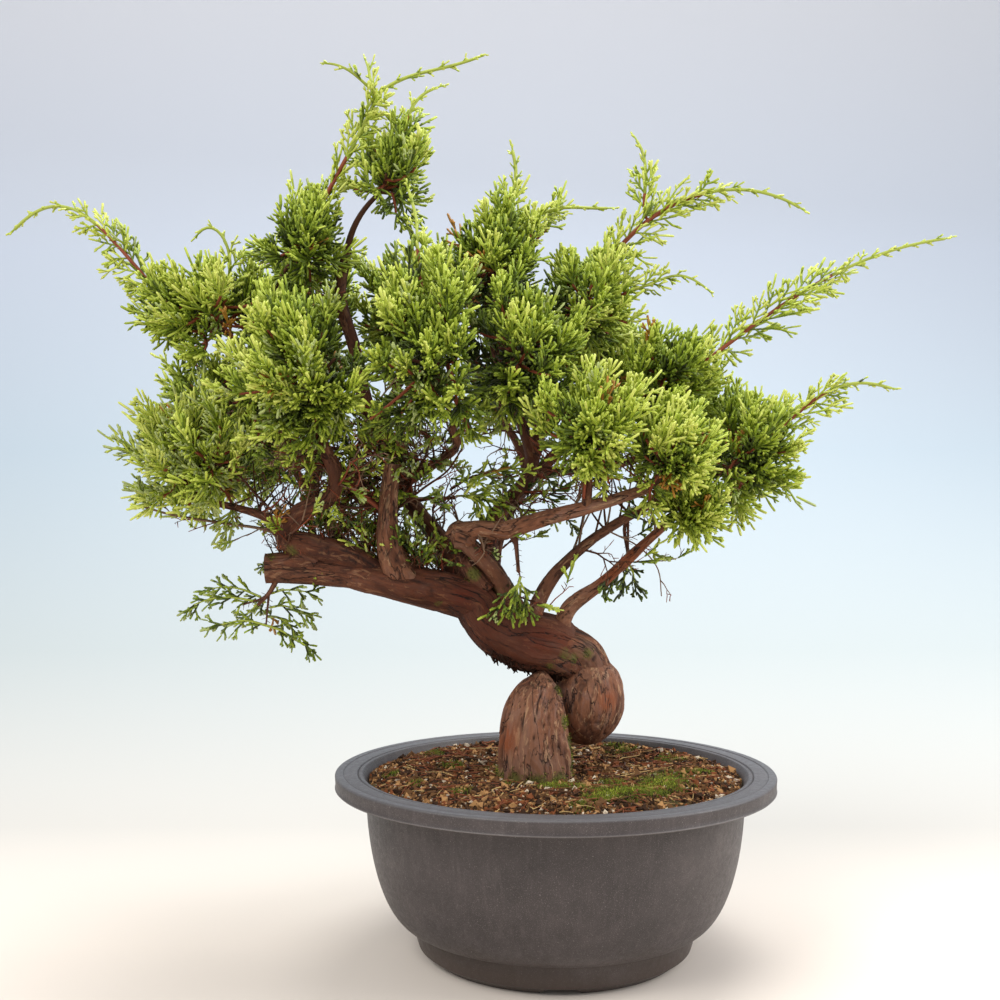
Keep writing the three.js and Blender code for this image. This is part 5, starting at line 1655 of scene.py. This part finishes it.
def make_fronds(name, fronds, rng):
    """Points, faces and tones of all shoots of a mass's fronds."""
    columns = [np.array(part, float) for part in zip(*fronds)]
    root, along, across, length, tone, narrow, count, lifted = columns
    number = len(root)
    normal = np.cross(along, across)
    up_bend = vec(0, 0, 1) - along * along[:, 2:]
    bend = times(times(up_bend, lifted) + CHANCE["bend"] * rng.normal(size=(number, 3)), length)
    shoots = np.arange(FROND_SHOOTS)[None]
    t = np.minimum(1, (shoots + 1) / count[:, None])
    used = shoots < count[:, None]
    last = shoots == count[:, None] - 1
    jitter = rng.normal(size=(number, FROND_SHOOTS, 5))
    angle = (lerp(*SHOOT_ANGLES, t) + CHANCE["angle"] * jitter[..., 0]) * np.where(last, LAST_TURN, 1)
    size = length[:, None] * lerp(*SHOOT_SHARES, t) * (1 + CHANCE["length"] * jitter[..., 1])
    size = np.clip(size * narrow[:, None], *SHOOT_LENGTHS)
    place = length[:, None] * (t * SHOOT_PLACES[0] - SHOOT_PLACES[1])
    base = root[:, None] + times(along[:, None], place) + times(bend[:, None], t ** 2)
    ahead = unit(along[:, None] + times(2 * bend[:, None], t / length[:, None]))
    lift = times(normal[:, None], CHANCE["lift"] * jitter[..., 2])
    lift = lift + vec(0, 0, LIFTS[0]) * lifted[:, None, None]
    out = across[:, None] * np.where(shoots % 2, 1.0, -1.0)[..., None]
    first = unit(times(ahead, np.cos(angle)) + times(out, np.sin(angle)) + lift)
    second = unit(first + TURN_AHEAD * ahead + vec(0, 0, LIFTS[1]) * lifted[:, None, None])
    middle = base + times(first, size * SHOOT_PARTS[0])
    shoulder = middle + times(second, size * SHOOT_PARTS[1])
    tips = shoulder + times(second, size * SHOOT_PARTS[2])
    thick = SHOOT_RADIUS * (1 + CHANCE["width"] * jitter[..., 3]) * np.clip(size / FULL_SHOOT, THINNEST, 1)
    shade = tone[:, None] + TONE_RISE * (t - TONE_MIDDLE) + CHANCE["tone"] * jitter[..., 4]
    flat = np.broadcast_to(normal[:, None], base.shape)

    rings = np.stack([base, middle, shoulder], 2)[used]
    shapes = [tapered(rings, tips[used], thick[used][:, None] * SHOOT_WIDTHS, flat[used])]
    tones = [shade[used][:, None] + OUTER_TONES["shoot"]]
    owners = [np.nonzero(used)[0]]
    forked = used & (size > LEAST_FORKED) & ~last
    for (place, turn, share), fits in zip(SIDE_SHOOTS, (shoots % 4 != 3, shoots % 2 == 1)):
        aside = times(out, turn * (1 + SIDE_CHANCE["turn"] * jitter[..., 0]))
        upright = times(normal[:, None], SIDE_CHANCE["lift"] * jitter[..., 1])
        way = unit(first + aside + upright + SIDE_AHEAD * ahead)
        start = base + times(first, size * place)
        end = start + times(way, size * share * (1 + SIDE_CHANCE["length"] * jitter[..., 2]))
        grown = forked & fits
        shapes.append(spindles(start[grown], end[grown], thick[grown], flat[grown]))
        tones.append(shade[grown][:, None] + OUTER_TONES["side"])
        owners.append(np.nonzero(grown)[0])
    axis_end = root + times(along, AXIS["reach"] * length) + AXIS["bend"] * bend
    axis = np.stack([root - along * AXIS["before"], axis_end], 1)
    shapes.append(tapered(axis, axis_end + along, np.outer(np.ones(number), AXIS["widths"]), across))
    tones.append(tone[:, None] + OUTER_TONES["axis"])
    owners.append(np.arange(number))

    gold = rng.random(number) < GOLD_SHARE
    dusty = rng.random(number) < DUSTY_SHARE.get(name, COMMON_DUSTY_SHARE)
    faces, picked, start = [], [], 0
    for (points, own_faces, halves), shades, owner in zip(shapes, tones, owners):
        faces.append(own_faces + start)
        start += len(points)
        chosen = np.digitize(shades, TONE_STEPS)
        chosen[dusty[owner], 1] = DUSTY
        chosen[gold[owner]] = GOLD
        picked.append(chosen[:, halves].ravel())
    return np.vstack([shape[0] for shape in shapes]), np.vstack(faces), np.concatenate(picked)


def tapered(centres, tips, radii, helper):
    """Blunt three-sided shoots through rings of given radii: points, triangles, and each one's half."""
    count, rings = centres.shape[:2]
    ahead = unit(np.concatenate([centres[:, 1:], tips[:, None]], 1) - centres)
    ring = rings_round(centres, radii, *pair_across(ahead, helper[:, None]), 3)
    points = np.concatenate([ring.reshape(count, rings * 3, 3), tips[:, None]], 1)
    quads = grid_faces(rings, 3)
    fan = cap_faces((rings - 1) * 3, 3, rings * 3, False)
    faces = np.vstack([quads[:, [0, 1, 2]], quads[:, [0, 2, 3]], fan])
    halves = (faces.max(1) > 5).astype(int)
    return points.reshape(-1, 3), copied_faces(faces, count, rings * 3 + 1), halves


def spindles(starts, tips, radii, helper):
    """Small three-sided shoots, widest near the tip: points, triangles, and each one's half."""
    widest = starts + 0.76 * (tips - starts)
    ring = rings_round(widest, radii, *pair_across(unit(tips - starts), helper), 3)
    points = np.concatenate([ring, starts[:, None], tips[:, None]], 1)
    faces = np.vstack([cap_faces(0, 3, 3, True), cap_faces(0, 3, 4, False)])
    return points.reshape(-1, 3), copied_faces(faces, len(starts), 5), (faces.max(1) > 3).astype(int)


# Thin branches that the crown's underside shows: radius, tone and path
FINE_BRANCHES = [
    (2.1, RED, [(-97, -26, 250), (-117, -30, 266), (-122, -31, 273), (-137, -36, 294), (-149, -40, 313)]),
    (1.2, RED, [(14, -44, 256), (15, -50, 270), (16, -58, 285), (16, -62, 300)]),
    (0.6, DEAD, [(30, -20, 238), (47, -20, 229), (57, -20, 217), (59, -20, 202)]),
    (0.9, BROWN, [(-31, -20, 198), (-22, -26, 202), (-12, -28, 199), (-4, -28, 197)]),
    (1.1, BROWN, [(-98, -24, 252), (-112, -26, 251), (-126, -28, 253), (-134, -26, 249)]),
    (0.8, BROWN, [(-60, 4, 262), (-44, -8, 270), (-30, -16, 268), (-16, -18, 274)]),
    (0.9, BROWN, [(-90, -12, 250), (-74, -20, 262), (-60, -24, 272), (-52, -26, 284)]),
    (1.3, DEAD, [(-140, -14, 226), (-160, -22, 238), (-182, -26, 242), (-212, -30, 247), (-228, -34, 252)]),
    (1.0, BROWN, [(-150, -18, 240), (-166, -26, 258), (-176, -34, 270), (-190, -38, 276)]),
    (0.9, BROWN, [(60, -28, 246), (72, -30, 254), (84, -30, 262), (92, -28, 272)]),
]
BARE_STEP = 5
BARE_TONES, BARE_TONE_SHARES = (RED, BROWN, DEAD), (0.2, 0.45, 0.35)
BARE_TWIG = {"wobble": 0.2, "taper": 0.55, "forks": 0.75, "shorter": (0.35, 0.6), "thinner": 0.62,
             "stubs": 0.55, "stub": (2.0, 4.5), "stub_radii": (0.32, 0.2)}
INNER_SPRAY = {"share": 0.2, "up": 0.1, "lengths": (9, 17), "tones": (0.7, 0.9, 1.1, 1.25),
               "shoots": (4, 8), "narrow": 0.9, "lift": 0.05}
# The space under the crown where bare twigs are densest, and the height from which they grow
DENSE_X, DENSE_Z, DENSE_BACK = (-145, -20), (224, 330), 34
BARE_FROM = 222
DENSE_SHARE, BARE_SHARE = 0.3, 0.09
BOUGH_TWIG = {"ahead": 0.6, "drift": (0, -0.1, 0.2), "lengths": (18, 42), "radius": 0.85}
FINE_TWIG = {"taper": 0.6, "lengths": (8, 18), "radius": 0.45}
LIMB_TWIG = {"number": 3, "aside": 0.6, "deep": (-0.5, 1.0), "up": 1.2, "start": 8, "lengths": (6, 26),
             "radius": 0.5}


def grow_bare_twig(strands, sprays, rng, start, way, length, thick, level):
    """A crooked twig without leaves, with smaller ones, short dead stubs and now and then a spray."""
    steps = max(3, int(length / BARE_STEP))
    line = [start]
    tone = rng.choice(BARE_TONES, p=BARE_TONE_SHARES)
    for turn in rng.normal(0, BARE_TWIG["wobble"], (steps, 3)):
        way = unit(way + turn)
        line.append(line[-1] + way * length / steps)
    strands.add(line, np.linspace(thick, thick * BARE_TWIG["taper"], steps + 1), tone)
    for point in line[1:]:
        side = unit(way + perpendicular(way, rng))
        if level and rng.random() < BARE_TWIG["forks"]:
            shorter, thinner = length * rng.uniform(*BARE_TWIG["shorter"]), thick * BARE_TWIG["thinner"]
            grow_bare_twig(strands, sprays, rng, point, side, shorter, thinner, level - 1)
        elif rng.random() < BARE_TWIG["stubs"]:
            stub = side * rng.uniform(*BARE_TWIG["stub"])
            strands.add([point, point + stub], BARE_TWIG["stub_radii"], rng.choice((RED, DEAD)))
    if level < 2 and rng.random() < INNER_SPRAY["share"]:
        along = unit(way + vec(0, 0, INNER_SPRAY["up"]))
        across, size = perpendicular(along, rng), rng.uniform(*INNER_SPRAY["lengths"])
        shade, shoots = rng.choice(INNER_SPRAY["tones"]), rng.integers(*INNER_SPRAY["shoots"])
        sprays.append(Frond(line[-1], along, across, size, shade, INNER_SPRAY["narrow"], shoots,
                            INNER_SPRAY["lift"]))


# Where many bare twigs cross under the crown: centre, radius and number
THICKETS = [((-112, 0, 280), 17, 46), ((-80, 2, 284), 13, 26), ((40, -6, 276), 13, 26),
            ((-126, -8, 262), 14, 22), ((-98, 10, 262), 12, 22), ((18, 10, 268), 12, 18),
            ((-150, -10, 268), 16, 22)]
# The twigs of a thicket: how they spread, wander and sag, and what grows on their ends
THICKET = {"spread": 0.6, "wander": 3, "sag": 2, "radii": (0.8, 0.4), "ends": (6, 14)}
NEAR_ROOTS = slice(3, 18)


def grow_thickets(strands, sprays, rng):
    """Twigs that leave the nearest boughs for a thicket and fork there."""
    roots = np.vstack([smooth_line(path, 4)[2:] for name, *_, path in BOUGHS if not name.startswith("twig")])
    for centre, radius, count in THICKETS:
        for target in vec(*centre) + radius * rng.normal(0, THICKET["spread"], (count, 3)):
            gaps = np.linalg.norm(roots - target, axis=1)
            root = roots[rng.choice(np.argsort(gaps)[NEAR_ROOTS])]
            middle = (root + target) / 2 + rng.normal(0, THICKET["wander"], 3) - vec(0, 0, THICKET["sag"])
            line = bezier([root, middle, target], TWIG_POINTS)
            radii = np.linspace(*THICKET["radii"], TWIG_POINTS)
            strands.add(line, radii, rng.choice((RED, BROWN, BROWN, DEAD)))
            length = rng.uniform(*THICKET["ends"])
            grow_bare_twig(strands, sprays, rng, target, unit(target - middle), length, radii[-1], 1)


def grow_along_boughs(strands, sprays, rng):
    """Bare twigs on the boughs above the trunk, most of them in the dense space."""
    for name, _, _, path in BOUGHS:
        line = smooth_line(path, 3)
        tangents = tangents_of(line)
        for point, tangent in zip(line[2:-1], tangents[2:-1]):
            x, y, z = point
            dense = DENSE_X[0] < x < DENSE_X[1] and DENSE_Z[0] < z < DENSE_Z[1] and y < DENSE_BACK
            if name.startswith(("twig", "limb", "stub")) or z < BARE_FROM:
                continue
            if rng.random() > (DENSE_SHARE if dense else BARE_SHARE):
                continue
            way = perpendicular(tangent, rng) + BOUGH_TWIG["ahead"] * tangent + vec(*BOUGH_TWIG["drift"])
            length = rng.uniform(*BOUGH_TWIG["lengths"])
            grow_bare_twig(strands, sprays, rng, point, unit(way), length, BOUGH_TWIG["radius"], 2)


def grow_bare_twigs(strands):
    """Fills the space between the boughs and the crown's underside, most of all over the main limb."""
    rng = random_stream("bare_twigs")
    sprays = []
    for radius, tone, path in FINE_BRANCHES:
        line = smooth_line(path, 3)
        strands.add(line, np.linspace(radius, radius * FINE_TWIG["taper"], len(line)), tone)
        run = unit(line[-1] - line[0])
        for point in line[2::4]:
            way = unit(perpendicular(run, rng) + run)
            length = rng.uniform(*FINE_TWIG["lengths"])
            grow_bare_twig(strands, sprays, rng, point, way, length, FINE_TWIG["radius"], 1)
    grow_along_boughs(strands, sprays, rng)
    grow_thickets(strands, sprays, rng)
    limb = smooth_line(BOUGHS[0][3], 2)
    for point in limb[len(limb) // 4:-4]:
        for _ in range(LIMB_TWIG["number"]):
            aside, deep = rng.normal(0, LIMB_TWIG["aside"]), rng.uniform(*LIMB_TWIG["deep"])
            way = unit(vec(aside, deep, LIMB_TWIG["up"]))
            start, length = point + way * LIMB_TWIG["start"], rng.uniform(*LIMB_TWIG["lengths"])
            grow_bare_twig(strands, sprays, rng, start, way, length, LIMB_TWIG["radius"], 1)
    return make_fronds("inner", sprays, rng)


FLAKES = {"count": 150, "from": 0.3, "to": 0.86, "size": (1.5, 4.5), "thick": (0.7, 1.3),
          "middle": 0.8, "tip": 0.3, "sunk": 0.4, "left": -0.25, "front": (-0.3, 0.5), "hang": 0.6,
          "trail": (-0.2, 1.2), "ragged": 0.3, "sag": 0.15}


def grow_flakes(strands):
    """Ragged dark flakes of bark that hang under the rise."""
    rng = random_stream("flakes")
    path, radii = rise_line()
    line = smooth_line(path)
    radii = spread_over(radii, len(line))
    tangents = tangents_of(line)
    for _ in range(FLAKES["count"]):
        index = rng.integers(int(len(line) * FLAKES["from"]), int(len(line) * FLAKES["to"]))
        tangent = tangents[index]
        down = vec(FLAKES["left"], rng.normal(*FLAKES["front"]), -1)
        down = unit(down - tangent * (down @ tangent))
        point = line[index] + down * (radii[index] - FLAKES["sunk"])
        way = down * FLAKES["hang"] - tangent * rng.uniform(*FLAKES["trail"])
        way = unit(way + FLAKES["ragged"] * rng.normal(size=3))
        size = rng.uniform(*FLAKES["size"])
        flake = [point, point + way * size * 0.5, point + (way - vec(0, 0, FLAKES["sag"])) * size]
        strands.add(flake, (rng.uniform(*FLAKES["thick"]), FLAKES["middle"], FLAKES["tip"]), FLAKE)


def make_foliage():
    leaves = tone_materials("leaf", LEAF_TONES)
    bark = tone_materials("twig", TWIG_TONES)
    strands = StrandMesh(4)
    for mass in masses:
        points, faces, picked = grow_mass(mass, strands)
        piece = make_piece(f"leaves_{mass.name}", points, faces, leaves, faces_material=picked)
        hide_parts(f"foliage_{mass.name}")
    strands.make("twigs", bark, "bark")
    bare = StrandMesh(3)
    points, faces, picked = grow_bare_twigs(bare)
    make_piece("leaves_inner", points, faces, leaves, faces_material=picked)
    grow_flakes(bare)
    bare.make("bare_twigs", bark, "bark")


# Studio
SWEEP = {"width": 6000, "front": -3000, "back": 300, "bend": 3000, "top": 6000, "points": 60}
# The sweep's colours, from the floor in front to the wall's top, over the way back and up: a painted gradient
# of light and shade, darker behind the pot and at the wall's foot and lighter towards its top, in cream, grey
# and blue tints
SWEEP_LENGTH = 5000
SWEEP_LIGHT_AND_SHADE = [(0.0, (221, 211, 201)), (0.055, (190, 187, 182)), (0.205, (181, 188, 189)),
                (0.44, (194, 207, 217)), (0.7, (225, 233, 246)), (1.0, (248, 249, 255))]
# Lights: name, place in metres, size, power and tint
LIGHTS = [("key", (-1.2, -1.1, 1.7), 1.2, 34, (1, 0.98, 0.94)),
          ("side", (1.7, -0.2, 1.1), 1.4, 32, (1, 1, 1)),
          ("top", (0.2, 0.5, 1.9), 1.2, 30, (1, 1, 0.98))]
LIGHT_AIM = (0, 0, 0.28)
AIR = {"Color": (0.93, 0.96, 1.0, 1), "Strength": 0.6}


def floor_material():
    look = Look("studio_floor", (226, 219, 209), 0.9, 0.1)
    place = look.add("ShaderNodeSeparateXYZ", {0: look.position()}).outputs
    way_back = look.figure(place["Y"], place["Z"], "ADD")
    # Painted light and shade: the sweep's colour follows how far back and up each point lies
    look.link(look.ramp(look.span(way_back, 0, SWEEP_LENGTH), SWEEP_LIGHT_AND_SHADE), "Base Color")
    return look.material


def make_sweep():
    """The floor, which bends up into the wall behind."""
    bend = SWEEP["bend"]
    arc = [(SWEEP["back"] + bend * math.sin(a), bend - bend * math.cos(a))
           for a in np.linspace(0, math.pi / 2, SWEEP["points"])]
    profile = [(SWEEP["front"], 0), *arc, (SWEEP["back"] + bend, SWEEP["top"])]
    points = np.array([(x, y, z) for y, z in profile for x in (-SWEEP["width"], SWEEP["width"])])
    faces = np.arange(len(profile) - 1)[:, None] * 2 + np.array([[0, 1, 3, 2]])
    mesh = bpy.data.meshes.new("studio_sweep")
    mesh.from_pydata((points * MM).tolist(), [], faces.tolist())
    mesh.materials.append(floor_material())
    mesh.polygons.foreach_set("use_smooth", np.ones(len(faces), bool))
    sweep = bpy.data.objects.new("studio_sweep", mesh)
    bpy.context.scene.collection.objects.link(sweep)


def make_lights():
    for name, place, size, power, tint in LIGHTS:
        lamp = bpy.data.lights.new(name, "AREA")
        lamp.energy, lamp.size, lamp.color = power, size, tint
        holder = bpy.data.objects.new(name, lamp)
        holder.location = place
        x, y, z = vec(*LIGHT_AIM) - vec(*place)
        holder.rotation_euler = (math.atan2(math.hypot(x, y), -z), 0, math.atan2(-x, y))
        bpy.context.scene.collection.objects.link(holder)
    world = bpy.data.worlds.new("studio_air")
    world.use_nodes = True
    for socket, value in AIR.items():
        world.node_tree.nodes["Background"].inputs[socket].default_value = value
    bpy.context.scene.world = world
    bpy.context.scene.view_settings.view_transform = "Standard"


# The camera stands before the pot, with the horizon a little under the picture's middle
CAMERA = {"distance": 690.0, "side": -31.2, "height": 241.0, "focal_pixels": 1200.0, "horizon_pixel": 526.0,
          "sensor": 36, "clip_start": 0.05}
PICTURE = 1000


def make_camera():
    camera = bpy.data.cameras.new("camera")
    camera.sensor_width = CAMERA["sensor"]
    camera.lens = CAMERA["sensor"] * CAMERA["focal_pixels"] / PICTURE
    camera.shift_y = (CAMERA["horizon_pixel"] - PICTURE / 2) / PICTURE
    camera.clip_start = CAMERA["clip_start"]
    holder = bpy.data.objects.new("camera", camera)
    holder.location = (CAMERA["side"] * MM, -CAMERA["distance"] * MM, CAMERA["height"] * MM)
    holder.rotation_euler = (math.pi / 2, 0, 0)
    bpy.context.scene.collection.objects.link(holder)
    bpy.context.scene.camera = holder


make_camera()
make_pot()
make_soil()
make_bark()
make_foliage()
make_sweep()
make_lights()
